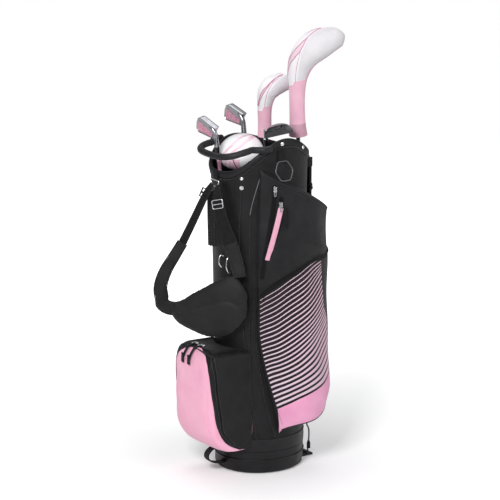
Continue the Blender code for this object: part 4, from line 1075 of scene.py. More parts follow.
def smooth_table(xs, ys):
    """A curve's points made dense enough that straight steps between them don't show."""
    line = smooth_path([(x, y * 4.0, 0.0) for x, y in zip(xs, ys)], 240)
    return [p.x for p in line], [p.y / 4.0 for p in line]


PINK_V, PINK_HALF = smooth_table(PINK_V, PINK_HALF)
BALL_ZIP_V, BALL_ZIP_HALF = smooth_table(BALL_ZIP_V, BALL_ZIP_HALF)


def ball_front(v, side):
    foot = 0.062 * (1 - math.sqrt(1 - max(0.0, 1 - v / 0.36) ** 2))
    crown = 0.022 * max(0.0, (v - 0.84) / 0.16) ** 2
    edge = 0.014 * abs(side) ** 6
    return BALL_REACH - foot - crown - edge


def ball_unrolled(distance, v, out=0.0):
    """A point by its distance from the middle of the face, round the edge onto the side."""
    half = BALL_WIDTH / 2
    sign = math.copysign(1.0, distance)
    reach = abs(distance)
    bend = 0.012
    z = BALL_BOTTOM + (BALL_TOP - BALL_BOTTOM) * v
    if reach <= half - bend:
        front = ball_front(v, reach / half)
        return Vector((-front - out, sign * reach, z)), Vector((-1.0, 0.0, 0.0))
    arc = math.pi / 2 * bend
    past = reach - (half - bend)
    start = -ball_front(v, (half - bend) / half)
    turn = min(1.0, past / arc) * math.pi / 2
    away = Vector((-math.cos(turn), sign * math.sin(turn), 0.0))
    point = Vector((start + bend, sign * (half - bend), z)) + away * (bend + out)
    if past > arc:
        point.x += past - arc
    return point, away


BALL_SPAN = 0.148               # how far the skin reaches round onto each side
BALL_DROP = 0.003               # how far the pocket's top slopes down to the bag


def crown(distance):
    """Radius of the top edge: small over the zip, larger round the sides."""
    t = min(1.0, max(0.0, (abs(distance) - 0.055) / 0.045))
    return 0.010 + 0.012 * t * t * (3 - 2 * t)


def ball_skin(u, v, w):
    """The closed skin: round the face and sides, bulging a little, with a rounded crown."""
    distance = (2 * u - 1) * BALL_SPAN
    top = rounding((1 - v) * (BALL_TOP - BALL_BOTTOM), crown(distance))
    bulge = 0.0016 * math.sin(math.pi * min(1.0, max(0.0, v))) * math.cos(
        math.pi * distance / 2 / BALL_SPAN)
    fold = 0.0006 * math.sin(40 * distance + 21 * v) * min(1.0, 8 * v * (1 - v))
    point, away = ball_unrolled(distance, v, -top + bulge + fold)
    a, b = body_axes(point.z)
    limit = -a * math.sqrt(max(0.0, 1 - (point.y / b) ** 2)) - 0.001
    if point.x > limit:
        point.x = limit
    back = Vector((limit, point.y, point.z - BALL_DROP * max(0.0, (v - 0.9) / 0.1)))
    return back.lerp(point, w)


def pink_edge(u, v):
    """Distance round the pocket less the pink panel's half width there: pink where below 0."""
    distance = abs(2 * u - 1) * BALL_SPAN
    return (distance - float(np.interp(v, PINK_V, PINK_HALF)) + 0.5, v)


BALL_HIGH = BALL_TOP - BALL_BOTTOM
ball = skin("ball_pocket_shell", ball_skin, 150, 140,
            lambda u, v: (u * 2 * BALL_SPAN, v * BALL_HIGH), 4)
second_map(ball, "panel", 2 * BALL_SPAN, BALL_HIGH, pink_edge)


def two_part_cloth():
    made, tree, here = new_material("pink_and_black_nylon")
    fade = ramped(tree, map_axes(tree, "panel")[0], 0.4997, 0.5003)
    colour = mixed(tree, fade, shades(tree, here, "#F3ADC8", "#FABDD3", 70.0),
                   shades(tree, here, "#0D0D0E", "#161617", 30.0))
    return printed_nylon(made, here, colour, 50.0, 2.4)


stand_in("ball_pocket_shell", ball, two_part_cloth(), "ball_pocket")

# %% Its piping and zip
def ball_line(heights, halves, sign, lift, count=90, top=1.0):
    """(point, out) pairs on the ball pocket along a curve of half widths."""
    made = []
    for step in range(count + 1):
        v = 0.012 + (top - 0.012) * step / count
        distance = float(np.interp(v, heights, halves))
        fall = rounding((1 - v) * BALL_HIGH, crown(distance))
        bulge = 0.0016 * math.sin(math.pi * v) * math.cos(math.pi * distance / 2 / BALL_SPAN)
        point, out = ball_unrolled(sign * distance, v, lift - fall + bulge)
        made.append((point, out))
    return made


def both_sides(heights, halves, lift, top=0.999):
    """The curve up one side of the pocket, over its top, and down the other."""
    near = ball_line(heights, halves, -1.0, lift, top=top)
    far = ball_line(heights, halves, 1.0, lift, top=top)
    return near + far[::-1]


pink_rim = both_sides(PINK_V, PINK_HALF, 0.0004)
trim("ball_pocket_piping", sweep("piping", smooth_path(bone(pink_rim)[::4], 200),
                                 circle(0.0012, 10)))
for word, shift in (("inner", -0.0042), ("outer", 0.0042)):
    cord = both_sides(BALL_ZIP_V, [h + shift for h in BALL_ZIP_HALF], 0.0003)
    trim("ball_zip_cord_" + word, sweep("cord", smooth_path(bone(cord)[::4], 200),
                                        circle(0.0009, 8)), CORD_GREY)
row_along("ball_zip_teeth", TOOTH_TREE, [both_sides(BALL_ZIP_V, BALL_ZIP_HALF, 0.0008)], 0.0017,
          (0.0048, 0.0012, 0.0018), ABS, "bag", "moulded black plastic")
print("ball pocket")

# %% [markdown]
# ## Handle, snaps and rivets
# The lift handle is one moulded loop with a soft skin. Snaps and rivets are turned metal, set on
# the cloth and on the collar.

# %% Lift handle
HANDLE_RADIUS, HANDLE_REACH, HANDLE_HALF, HANDLE_ROOT_X = 0.0085, 0.098, 0.090, -0.052
HANDLE_ROOTS = (108.0, 114.0, 120.0)
HANDLE_TIP_Z = 0.820


def handle_path():
    clear = COLLAR_WALL + HANDLE_RADIUS + GAP
    near = [oval_point(-turn, rim(-HANDLE_ROOTS[0]) + rise, clear)
            for turn, rise in zip(HANDLE_ROOTS, (-0.006, -0.007, -0.008))]
    far = [oval_point(turn - 7.0, rim(HANDLE_ROOTS[0] - 7.0) + rise, clear)
           for turn, rise in zip(HANDLE_ROOTS, (-0.007, -0.005, -0.003))]
    path = list(near)
    for i in range(2, 29):
        turn = math.pi * i / 30 - math.pi / 2
        bulge = abs(math.cos(turn)) ** 0.8
        side = near[-1].z if turn < 0 else far[-1].z
        path.append(Vector((HANDLE_ROOT_X - HANDLE_REACH * bulge,
                            HANDLE_HALF * math.copysign(abs(math.sin(turn)) ** 0.8, turn),
                            HANDLE_TIP_Z + (side - HANDLE_TIP_Z) * abs(math.sin(turn)) ** 4)))
    path += reversed(far)
    return smooth_path(path, 40)


handle_line = smooth_path(handle_path(), 240)


def handle_section(share):
    """Round, with a dozen shallow finger rings near the middle and swollen ends."""
    middle = max(0.0, 1.0 - abs(share - 0.5) / 0.16)
    ripple = 0.00025 * math.sin(share * 2 * math.pi * 60) * min(1.0, 3 * middle)
    end = 0.0006 * max(0.0, 1.0 - min(share, 1 - share) / 0.05)
    tip = min(1.0, min(share, 1 - share) / 0.006)
    return circle((HANDLE_RADIUS - 0.0003 + ripple + end) * (0.6 + 0.4 * tip ** 0.5), 28)


stand_in("carry_handle_grip", sweep("handle", handle_line, handle_section), SOFT_RUBBER,
         "carry_handle")

# %% Turned parts: a profile spun about an axis
def turned(name, centre, axis, profile, sides=28):
    """A closed skin of rings (along, radius) about an axis through a centre."""
    centre, axis = Vector(centre), Vector(axis).normalized()
    side = axis.orthogonal().normalized()
    over = axis.cross(side)
    points = [centre + axis * along + (side * math.cos(t) + over * math.sin(t)) * radius
              for along, radius in profile
              for t in (2 * math.pi * i / sides for i in range(sides))]
    faces = ring_quads(len(profile) - 1, sides)[0]
    last = (len(profile) - 1) * sides
    faces += [tuple(reversed(range(sides))), tuple(last + i for i in range(sides))]
    return closed_mesh(name, points, faces)


DOME = [(0.0, 1.0), (0.12, 1.0), (0.22, 0.93), (0.36, 0.72), (0.45, 0.42), (0.49, 0.08)]
RING_SNAP = [(0.0, 1.0), (0.16, 1.0), (0.26, 0.92), (0.28, 0.72), (0.16, 0.62), (0.14, 0.40),
             (0.34, 0.34), (0.36, 0.06)]


def rivet(name, angle, z, radius, profile, out):
    """A rivet or a snap on the bag's oval, at an angle and a height."""
    at = oval_point(angle, z, out)
    shape = turned(name, at, oval_out(angle, z), [(a * radius, r * radius) for a, r in profile])
    return piece(name, shape, NICKEL, "bag", "bright plated steel", smooth=40.0)


rivet("snap_dome", -143.0, 0.7640, 0.0046, DOME, 0.0005)
rivet("snap_ring", -143.0, 0.7410, 0.0056, RING_SNAP, 0.0005)
rivet("collar_rivet_near", -61.5, rim(-61.5) - 0.010, 0.0052, DOME, COLLAR_WALL * 0.85)
rivet("collar_rivet_far", 61.5, rim(61.5) - 0.010, 0.0052, DOME, COLLAR_WALL * 0.85)
rivet("towel_rivet", -95.0, rim(-95.0) - 0.0095, 0.0052, DOME, COLLAR_WALL * 0.9)
for word, side in (("near", -1.0), ("far", 1.0)):
    for count, turn in enumerate((12.0, -12.0)):
        angle = side * 12.0 + turn
        rivet("bracket_rivet_%s_%d" % (word, count), angle, rim(angle) - 0.010, 0.0032, DOME,
              COLLAR_WALL * 0.85)
print("handle, snaps and rivets")

# %% [markdown]
# ## Straps
# Webbing is a flat section carried along a line that runs from the D-ring to the pads. The
# ladder lock keeps the shape of its solid, with rounded edges.

# %% D-ring, its tab, and the webbing
STRAP_FACE = (0.8, -0.6, 0.0)
ring_low, ring_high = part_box("spine_d_ring")
RING_WIRE = (ring_high.x - ring_low.x) / 2
ring_half = (ring_high.y - ring_low.y) / 2 - RING_WIRE
ring_top = ring_high.z - RING_WIRE
ring_x = (ring_low.x + ring_high.x) / 2
ring_y = (ring_low.y + ring_high.y) / 2
ring_deep = ring_high.z - ring_low.z - 2 * RING_WIRE
bow = [Vector((ring_x, ring_y + ring_half * math.sin(t), ring_top - ring_deep * math.cos(t)))
       for t in (math.radians(-90 + 4.5 * i) for i in range(41))]
bar = [bow[-1].lerp(bow[0], i / 12) for i in range(1, 12)]
stand_in("d_ring", sweep("ring", bow + bar, circle(RING_WIRE * 0.98, 14), closed=True), NICKEL,
         "spine_d_ring")


def strap_line(route, across_start, across_end, count):
    """A strap's path, the direction across it at a share, and its frames."""
    path = smooth_path(route, count)
    start, end = Vector(across_start), Vector(across_end)

    def facing(share):
        return start.lerp(end, share)

    return path, facing, frames(path, facing)


def strap(name, route, across_start, across_end, width, thickness, finish, node, count=90):
    """A flat strap along a route, with a row of stitches beside each edge."""
    path, facing, base = strap_line(route, across_start, across_end, count)

    def section(share):
        return slab(width(share) if callable(width) else width, thickness, 20, 5.0)

    piece(name, sweep(name, path, section, facing), finish, BODY_OF[node], "black webbing",
          (node,))
    lines = []
    for sign in (-1.0, 1.0):
        for face in (-1.0, 1.0):
            lines.append([])
            for i, (point, (along, side, out)) in enumerate(zip(path, base)):
                span = width(i / count) if callable(width) else width
                lines[-1].append((point + side * sign * (span / 2 - 0.0024)
                                  + out * face * (thickness / 2 - 0.0001), out * face))
    row_along(name + "_stitches", STITCH_TREE, lines, 0.0034, STITCH, THREAD, BODY_OF[node],
              "black webbing")


WEB_WIDTH, WEB_THICKNESS = 0.021, 0.0022
FAR_ROUTE = [(-0.1356, 0.008, 0.742), (-0.1475, 0.009, 0.725), (-0.160, 0.012, 0.702),
             (-0.186, 0.024, 0.642), (-0.208, 0.030, 0.599), (-0.2125, 0.0318, 0.5900)]
NEAR_ROUTE = [(-0.1356, -0.0155, 0.742), (-0.1395, -0.0225, 0.722), (-0.141, -0.029, 0.700),
              (-0.138, -0.040, 0.655), (-0.128, -0.058, 0.603)]
strap("far_web", FAR_ROUTE, (0.0, -1.0, 0.0), STRAP_FACE,
      lambda u: WEB_WIDTH * (0.70 + 0.30 * min(1.0, u / 0.14)), WEB_THICKNESS, WEBBING,
      "far_strap_web")
strap("near_web", NEAR_ROUTE, (0.0, -1.0, 0.0), (0.7, -0.8, 0.0),
      lambda u: WEB_WIDTH * (0.68 + 0.42 * min(1.0, u / 0.14) + 0.8 * u), WEB_THICKNESS, WEBBING,
      "near_strap_web")
softened("d_ring_tab", WEBBING, 0.6)
softened("ladder_lock", ABS, 0.5)

# %% Triglide: a wire frame with a middle bar, laid where its solid lies
def bent_wire(corners, centre, right, half_wide, up, half_high, straight):
    """Points of a closed wire bent through corners; straight is each side's unbent share."""
    line = []
    for (x, y), (next_x, next_y) in zip(corners, corners[1:] + corners[:1]):
        for step in range(10):
            t = (1 - straight) / 2 + straight * step / 9
            line.append(centre + right * half_wide * (x + (next_x - x) * t)
                        + up * half_high * (y + (next_y - y) * t))
    return line


low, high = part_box("strap_triglide")
middle = (low + high) / 2
along = Vector((0.0, -0.3, -1.0)).normalized()
across = Vector((0.45, -1.0, 0.0))
across = (across - along * across.dot(along)).normalized()
frame_line = bent_wire([(-1, -1), (1, -1), (1, 1), (-1, 1)], middle, across, 0.0148, along, 0.0105,
                       0.84)
wires = [sweep("wire", frame_line, circle(0.0012, 10), closed=True),
         sweep("bar", [middle + across * 0.0148 * (k / 5 - 1) for k in range(11)],
               circle(0.0012, 10))]
stand_in("triglide_frame", joined(wires, "frame"), NICKEL, "strap_triglide", 40.0)

# %% The flat perforated spine strap and the two hooks
SPINE_ROUTE = [(-0.1290, 0.020, 0.718), (-0.1288, 0.020, 0.66), (-0.1283, 0.018, 0.580)]
spine_path = smooth_path(SPINE_ROUTE, 80)
strap("spine_strap_cover", SPINE_ROUTE, (0.3, -1.0, 0.0), (0.3, -1.0, 0.0), 0.026, 0.0045,
      GREY_WEBBING, "spine_strap")
spine_base = frames(spine_path, (0.3, -1.0, 0.0))
holes = []
for shift in (-0.0042, 0.0042):
    for face in (1.0, -1.0):
        holes.append([(point + side * shift + out * face * 0.0022, out * face)
                      for point, (along, side, out) in zip(spine_path, spine_base)])
# painted shadow: matt near-black discs on both faces stand for the perforations, whose insides lie
# in shade
HOLE_BLACK = moulded_plastic("hole_shadow", "#020202", "#050505", rough=0.95)
row_along("spine_strap_holes", DISC_TREE, holes, 0.0082, (0.0036, 0.0036, 0.0004), HOLE_BLACK,
          "bag", "black webbing")


def hook(name, angle, top, bottom, lean):
    """A bright wire hook that stands off the body."""
    route = [oval_point(angle, top, 0.003), oval_point(angle - lean, top + 0.004, 0.011),
             oval_point(angle - lean, (top + bottom) / 2, 0.017),
             oval_point(angle, bottom, 0.013), oval_point(angle, bottom + 0.001, 0.004)]
    return piece(name, sweep(name, smooth_path(route, 60), circle(0.0013, 12)), NICKEL, "bag",
                 "bright plated steel")


hook("strap_hook_far", -168.5, 0.5600, 0.5350, 2.0)
hook("strap_hook_near", -158.0, 0.5560, 0.5225, 2.0)

# %% [markdown]
# ## Pads
# Each pad starts from a slightly smaller form of its solid, is blown up by a short cloth
# simulation so that it swells between its edges, and then gets its seams. A point may move only a
# few millimetres, so a pad stays in the space that its solid holds.

# %% A cloth run that fills a form
CLOTH_PRESSURE, CLOTH_FRAMES = 4.0, 20


def puffed(name, mesh, voxel_mm, cap_mm):
    work = bpy.data.objects.new(name + "_cloth", mesh)
    scene.collection.objects.link(work)
    even = work.modifiers.new("even", "REMESH")
    even.mode = "VOXEL"
    even.voxel_size = voxel_mm / 1000.0
    level = work.modifiers.new("level", "SMOOTH")
    level.factor, level.iterations = 0.5, 3
    settle(work)
    before = [v.co.copy() for v in work.data.vertices]
    run = work.modifiers.new("cloth", "CLOTH")
    run.settings.use_pressure = True
    run.settings.uniform_pressure_force = CLOTH_PRESSURE
    run.settings.tension_stiffness = 18.0
    run.settings.effector_weights.gravity = 0.0
    for step in range(1, CLOTH_FRAMES + 1):
        scene.frame_set(step)
    settle(work)
    scene.frame_set(1)
    cap = cap_mm / 1000.0
    for vertex, start in zip(work.data.vertices, before):
        move = vertex.co - start
        if move.length > cap:
            vertex.co = start + move.normalized() * cap
    fine = work.modifiers.new("fine", "SUBSURF")
    fine.levels = fine.render_levels = 1
    settle(work)
    shape = work.data
    shape.materials.clear()
    bpy.data.objects.remove(work)
    return shape

# %% The big shoulder pad
PAD_OUT = Vector((-0.79, -0.61, 0.0))
PAD_THICKNESS, PAD_BELLY, PAD_SHRINK = 0.013, 0.012, 0.0022
PAD_TOP_EDGE = [(-0.101, -0.098, 0.478), (-0.113, -0.082, 0.510), (-0.130, -0.060, 0.522),
                (-0.156, -0.026, 0.503), (-0.185, 0.012, 0.474), (-0.207, 0.041, 0.450),
                (-0.2215, 0.0580, 0.442)]
PAD_LOW_EDGE = [(-0.103, -0.096, 0.418), (-0.118, -0.078, 0.387), (-0.137, -0.052, 0.364),
                (-0.166, -0.012, 0.358), (-0.191, 0.018, 0.370), (-0.210, 0.044, 0.385),
                (-0.2215, 0.0580, 0.404)]
PAD_STEPS = 64
pad_top = smooth_path(PAD_TOP_EDGE, PAD_STEPS)
pad_low = smooth_path(PAD_LOW_EDGE, PAD_STEPS)


def pad_form(u, v, w, shrink=0.0):
    """A point of the pad between its two edges; shrink pulls it in from every side."""
    i = round(u * PAD_STEPS)
    top, low = pad_top[i], pad_low[i]
    belly = PAD_BELLY * math.cos(math.pi * (v - 0.5)) * math.sin(math.pi * u) ** 0.5
    full = min(1.0, 4 * v * (1 - v) * 2.2) * min(1.0, 8 * u * (1 - u) + 0.35)
    thick = PAD_THICKNESS * (0.45 + 0.55 * full) - 2 * shrink
    soft = math.sqrt(min(1.0, 5 * min(v, 1 - v) + 0.40))
    return low.lerp(top, v) + PAD_OUT * ((w - 0.5) * thick * soft + belly)


pad_mesh = skin("shoulder_pad_shape", lambda u, v, w: pad_form(u, v, w, PAD_SHRINK / 2),
                PAD_STEPS, 30, lambda u, v: (0.2 * u, 0.12 * v), 3)
pad_mesh = puffed("shoulder_pad", pad_mesh, 2.8, 2.0)


def pressed(mesh, line, width_mm, depth_mm, side):
    """Press a sewn channel into a mesh along a line, on the side that faces a direction."""
    width, depth = width_mm / 1000.0, depth_mm / 1000.0
    for vertex in mesh.vertices:
        if vertex.normal.dot(side) < 0.2:
            continue
        near = min((vertex.co - spot).length for spot in line)
        if near < 3 * width:
            vertex.co -= side * depth * math.exp(-(near / width) ** 2)
    return mesh


fold_flat = smooth_path([(0.03, 0.30, 0.0), (0.16, 0.50, 0.0), (0.34, 0.60, 0.0),
                         (0.55, 0.60, 0.0), (0.80, 0.56, 0.0)], 60)
fold = [pad_form(p.x, p.y, 1.0) for p in fold_flat]
pressed(pad_mesh, fold, 5.0, 3.2, PAD_OUT)
shoulder = stand_in("shoulder_pad_cover", pad_mesh, PAD_MESH, "shoulder_pad", 70.0)

# %% The far strap's padded length and the near strap's tail
FAR_PAD_ROUTE = [(-0.2087, 0.0303, 0.5975), (-0.2305, 0.039, 0.560), (-0.2425, 0.048, 0.535),
                 (-0.2520, 0.055, 0.508), (-0.2535, 0.063, 0.481), (-0.2460, 0.069, 0.453),
                 (-0.2410, 0.0735, 0.4370), (-0.2300, 0.0680, 0.4262),
                 (-0.2180, 0.0560, 0.4235), (-0.2060, 0.0430, 0.4235)]
NEAR_PAD_ROUTE = [(-0.1279, -0.0583, 0.6023), (-0.122, -0.071, 0.570), (-0.119, -0.079, 0.545),
                  (-0.1177, -0.0857, 0.5196)]


def padded_length(name, route, across_start, across_end, width, thickness, node, cap_mm):
    """A padded part of a strap with its edges bound."""
    count = 60
    path, facing, base = strap_line(route, across_start, across_end, count)

    def section(share):
        return slab(width(share) - 0.002, thickness - 0.0014, 24, 3.0)

    mesh = sweep(name, path, section, facing)
    made = stand_in(name, puffed(name, mesh, 1.8, cap_mm), PAD_MESH, node, 70.0)
    for sign in (-1.0, 1.0):
        rim_line = [point + side * sign * (width(i / count) / 2 - 0.0012)
                    for i, (point, (along, side, out)) in enumerate(zip(path, base))]
        trim("%s_binding_%s" % (name, "left" if sign < 0 else "right"),
             sweep("binding", rim_line, circle(0.0013, 10)))


padded_length("far_pad", FAR_PAD_ROUTE, STRAP_FACE, (0.05, -0.05, 1.0),
              lambda u: 0.027 + 0.009 * min(1.0, u * 2.0), PAD_THICKNESS * 0.6,
              "far_strap_pad", 1.2)
padded_length("near_pad", NEAR_PAD_ROUTE, (0.7, -0.8, 0.0), (0.75, -0.7, 0.0),
              lambda u: 0.036 - 0.006 * u, 0.006, "near_strap_pad", 1.0)

# %% Grab loop beside the boot
grab = []
for i in range(41):
    turn = math.radians(-90 + 4.5 * i)
    grab.append((-BOOT_X - 2 * GAP - 0.047 * math.cos(turn), 0.0,
                 0.0425 + 0.0235 * math.sin(turn)))
strap("grab_loop", grab, (0.0, 1.0, 0.0), (0.0, 1.0, 0.0), WEB_WIDTH, 0.003, WEBBING,
      "lower_grab_loop", 120)
print("straps and pads")

# %% [markdown]
# ## Towel tab and ring, zip pulls
# The towel ring is dark plated wire bent to a hexagon. One zip pull is a ribbon, one a cord, and
# the others are moulded.

# %% Tab, ring and pulls
softened("towel_tab", WEBBING, 0.8)
ring_points = np.array([v.co for v in frame["nodes"]["towel_ring"].data.vertices])
ring_centre = Vector(ring_points.mean(0))
ring_out = Vector(np.linalg.svd(ring_points - ring_points.mean(0))[2][2])
ring_up = (Vector((0.0, 0.0, 1.0)) - ring_out * ring_out.z).normalized()
ring_side = ring_up.cross(ring_out)
reach = [(point - ring_centre).length for point in map(Vector, ring_points)]
RING_RADIUS, TOWEL_WIRE = (max(reach) + min(reach)) / 2, (max(reach) - min(reach)) / 2
hexagon = [(1.0, 0.0), (0.52, 0.96), (-0.52, 0.96), (-1.0, 0.0), (-0.52, -0.96), (0.52, -0.96)]
ring_line = bent_wire(hexagon, ring_centre, ring_side, RING_RADIUS, ring_up, RING_RADIUS, 0.76)
stand_in("towel_ring_wire", sweep("ring", ring_line, circle(TOWEL_WIRE, 14), closed=True),
         DARK_PLATE, "towel_ring")
for node in ("upper_zip_slider", "ribbon_zip_slider", "side_zip_slider", "ball_zip_slider_near",
             "ball_zip_slider_far"):
    softened(node, NICKEL, 0.9, 30.0, segments=3)
softened("ribbon_pull", PINK_RIBBON, 0.3)
softened("cord_pull", WEBBING, 0.8)
for node in ("side_zip_pull", "ball_zip_pull_near", "ball_zip_pull_far"):
    softened(node, ABS, 0.7)

# %% Bright pull plates on the sliders, and moulded ends on the ball pocket's pulls
def pull_plate(slider, start, down, out, length, width=0.0062):
    """A thin plate with a hole, hinged on a slider."""
    side = out.cross(down).normalized()
    rim_line, hole = [], []
    for step in range(40):
        turn = 2 * math.pi * step / 40
        x = math.copysign(abs(math.cos(turn)) ** 0.6, math.cos(turn)) * width / 2
        y = math.copysign(abs(math.sin(turn)) ** 0.6, math.sin(turn)) * length / 2
        rim_line.append(start + down * (length / 2 + y) + side * x)
        hole.append(start + down * (length * 0.62 + y * 0.45) + side * x * 0.45)
    points, faces = [], []
    for ring in (rim_line, hole):
        for lift in (0.0, 0.0012):
            points += [point + out * lift for point in ring]
    for i in range(40):
        k = (i + 1) % 40
        faces += [(i, k, 40 + k, 40 + i), (80 + i, 120 + i, 120 + k, 80 + k),
                  (40 + i, 40 + k, 120 + k, 120 + i), (i, 80 + i, 80 + k, k)]
    name = slider + "_plate"
    return piece(name, closed_mesh(name, points, faces), NICKEL, BODY_OF[slider],
                 "bright plated steel", smooth=40.0)


for slider, place in (("upper_zip_slider", (0.175, 0.955)), ("ribbon_zip_slider", (0.235, 0.905))):
    point, up, out = pocket_frame(*place)
    down = (-up + out * 0.05).normalized()
    pull_plate(slider, point + out * 0.0042 - up * 0.002, down, out, 0.016)
for word, lift in (("near", 0.004), ("far", 0.030)):
    slider = "ball_zip_slider_" + word
    low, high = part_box(slider)
    top = Vector(((low.x + high.x) / 2, (low.y + high.y) / 2, high.z + 0.0006))
    pull_plate(slider, top, Vector((-1.0, 0.15, 0.0)).normalized(),
               Vector((0.0, 0.0, 1.0)), 0.014)
    pull = "ball_zip_pull_" + word
    low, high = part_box(pull)
    tail = [Vector((low.x - 0.0004, (low.y + high.y) / 2 - 0.001, low.z + 0.026 - 0.0026 * k))
            for k in range(10)]
    tab = sweep("tab", tail, lambda share: slab(0.0088 - 0.0025 * (1 - share), 0.0040, 20, 4.0),
                (0.0, 1.0, 0.0))
    piece(pull + "_end", tab, ABS, BODY_OF[pull], "moulded black plastic", smooth=50.0)

# %% [markdown]
# ## Legs and stand
# Two anodised tubes hang from brackets under the rim. A bent wire runs from the foot plate up
# towards the legs: pressing the bag down pushes the wire up and swings both legs out.

# %% Legs, brackets and rubber feet
LEG_RADIUS, FOOT_RADIUS, FOOT_HEIGHT = 0.0070, 0.0105, 0.024
for word in ("near", "far"):
    low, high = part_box("leg_" + word)
    middle = (low + high) / 2
    body = BODY_OF["leg_" + word]
    tube = turned("tube", (middle.x, middle.y, 0.0), (0, 0, 1),
                  [(low.z, LEG_RADIUS * 0.9), (low.z + 0.0006, LEG_RADIUS),
                   (high.z - 0.0012, LEG_RADIUS), (high.z, LEG_RADIUS * 0.82)], 36)
    stand_in("leg_tube_" + word, tube, ANODISED, "leg_" + word, 40.0)
    end = low.z
    ribs = [(end - 0.0002, FOOT_RADIUS * 0.93), (end - 0.0012, FOOT_RADIUS)]
    for i in range(6):
        z = end - 0.0035 - i * 0.0030
        size = FOOT_RADIUS * (1 - 0.15 * (end - z) / FOOT_HEIGHT)
        ribs += [(z + 0.0008, size), (z, size - 0.0007), (z - 0.0008, size)]
    ribs += [(end - FOOT_HEIGHT + 0.003, FOOT_RADIUS * 0.86),
             (end - FOOT_HEIGHT + 0.0004, FOOT_RADIUS * 0.70)]
    foot = turned("foot", (middle.x, middle.y, 0.0), (0, 0, 1), ribs, 36)
    stand_in("foot_rubber_" + word, foot, SOFT_RUBBER, "leg_foot_" + word, 40.0)
    softened("leg_bracket_" + word, ABS, 0.9)
    clip = turned("clip", (middle.x, middle.y, 0.0), (0, 0, 1),
                  [(0.694, 0.0078), (0.6945, 0.0092), (0.7095, 0.0092), (0.710, 0.0078)], 30)
    piece("leg_clip_" + word, clip, ABS, body, "moulded black plastic", smooth=40.0)
    away = oval_out(12.0 if word == "far" else -12.0)
    side = Vector((-away.y, away.x, 0.0)) * (1.0 if word == "far" else -1.0)
    knob = turned("knob", Vector((middle.x, middle.y, 0.702)) + side * 0.0085, side,
                  [(0.0, 0.0036), (0.0022, 0.0036), (0.0026, 0.0048), (0.0062, 0.0050),
                   (0.0080, 0.0040), (0.0084, 0.0012)], 24)
    piece("leg_clip_knob_" + word, knob, ABS_SMOOTH, body, "moulded black plastic", smooth=40.0)

# %% Actuator wire with its clamp
PLATE_THICKNESS, WIRE_RADIUS, WIRE_TOP, WIRE_Y = 0.005, 0.002, 0.330, 0.036
WIRE_GAP, WIRE_BULGE, WIRE_BEND = 0.0075, 0.0085, 0.006
wire_foot = PLATE_THICKNESS + 2 * GAP + WIRE_RADIUS
wire_x = BOOT_X + WIRE_GAP
half_wire = [Vector((wire_x, -WIRE_Y, z)) for z in (WIRE_TOP, 0.215, 0.100)]
half_wire += [Vector((wire_x + WIRE_BULGE, -WIRE_Y, z)) for z in (0.068, 0.042)]
for i in range(12):
    turn = math.radians(90.0 * i / 11)
    half_wire.append(Vector((wire_x + WIRE_BULGE * 0.6,
                             -WIRE_Y + WIRE_BEND - WIRE_BEND * math.cos(turn),
                             wire_foot + WIRE_BEND - WIRE_BEND * math.sin(turn))))
wire_line = half_wire + [Vector((p.x, -p.y, p.z)) for p in reversed(half_wire)]
stand_in("stand_wire", sweep("wire", smooth_path(wire_line, 420), circle(WIRE_RADIUS, 14)),
         DARK_PLATE, "actuator_wire")
for word, sign in (("near", -1.0), ("far", 1.0)):
    clamp = turned("clamp", (wire_x + WIRE_BULGE * 0.95, sign * WIRE_Y, 0.0), (0, 0, 1),
                   [(0.018, 0.0034), (0.0185, 0.0046), (0.033, 0.0046), (0.0345, 0.0036),
                    (0.038, 0.0030)], 26)
    piece("wire_clamp_" + word, clamp, ABS, BODY_OF["actuator_wire"], "moulded black plastic",
          smooth=40.0)
print("legs and stand")

# %% [markdown]
# ## Clubs
# Every club is a straight line from its butt on the boot's floor to its hosel. The grip, shaft
# and ferrule are turned parts on that line; the heads are skins over their own grids.

# %% Club lines
GRIP_LENGTH, GRIP_BUTT, GRIP_MOUTH = 0.265, 0.0125, 0.0095
SHAFT_BUTT, SHAFT_TIP, HOSEL_RADIUS, BOOT_FLOOR = 0.0070, 0.0045, 0.0065, 0.030
LIGHT_PINK = gloss_paint("pink_shaft_paint", "#E9A3C0", "#F0B4CC", 0.28)
DARK_PAINT = gloss_paint("graphite_paint", "#141416", "#1C1C1F", 0.25)
FERRULE = moulded_plastic("ferrule_acetate", "#0C0C0D", "#141415", rough=0.2)


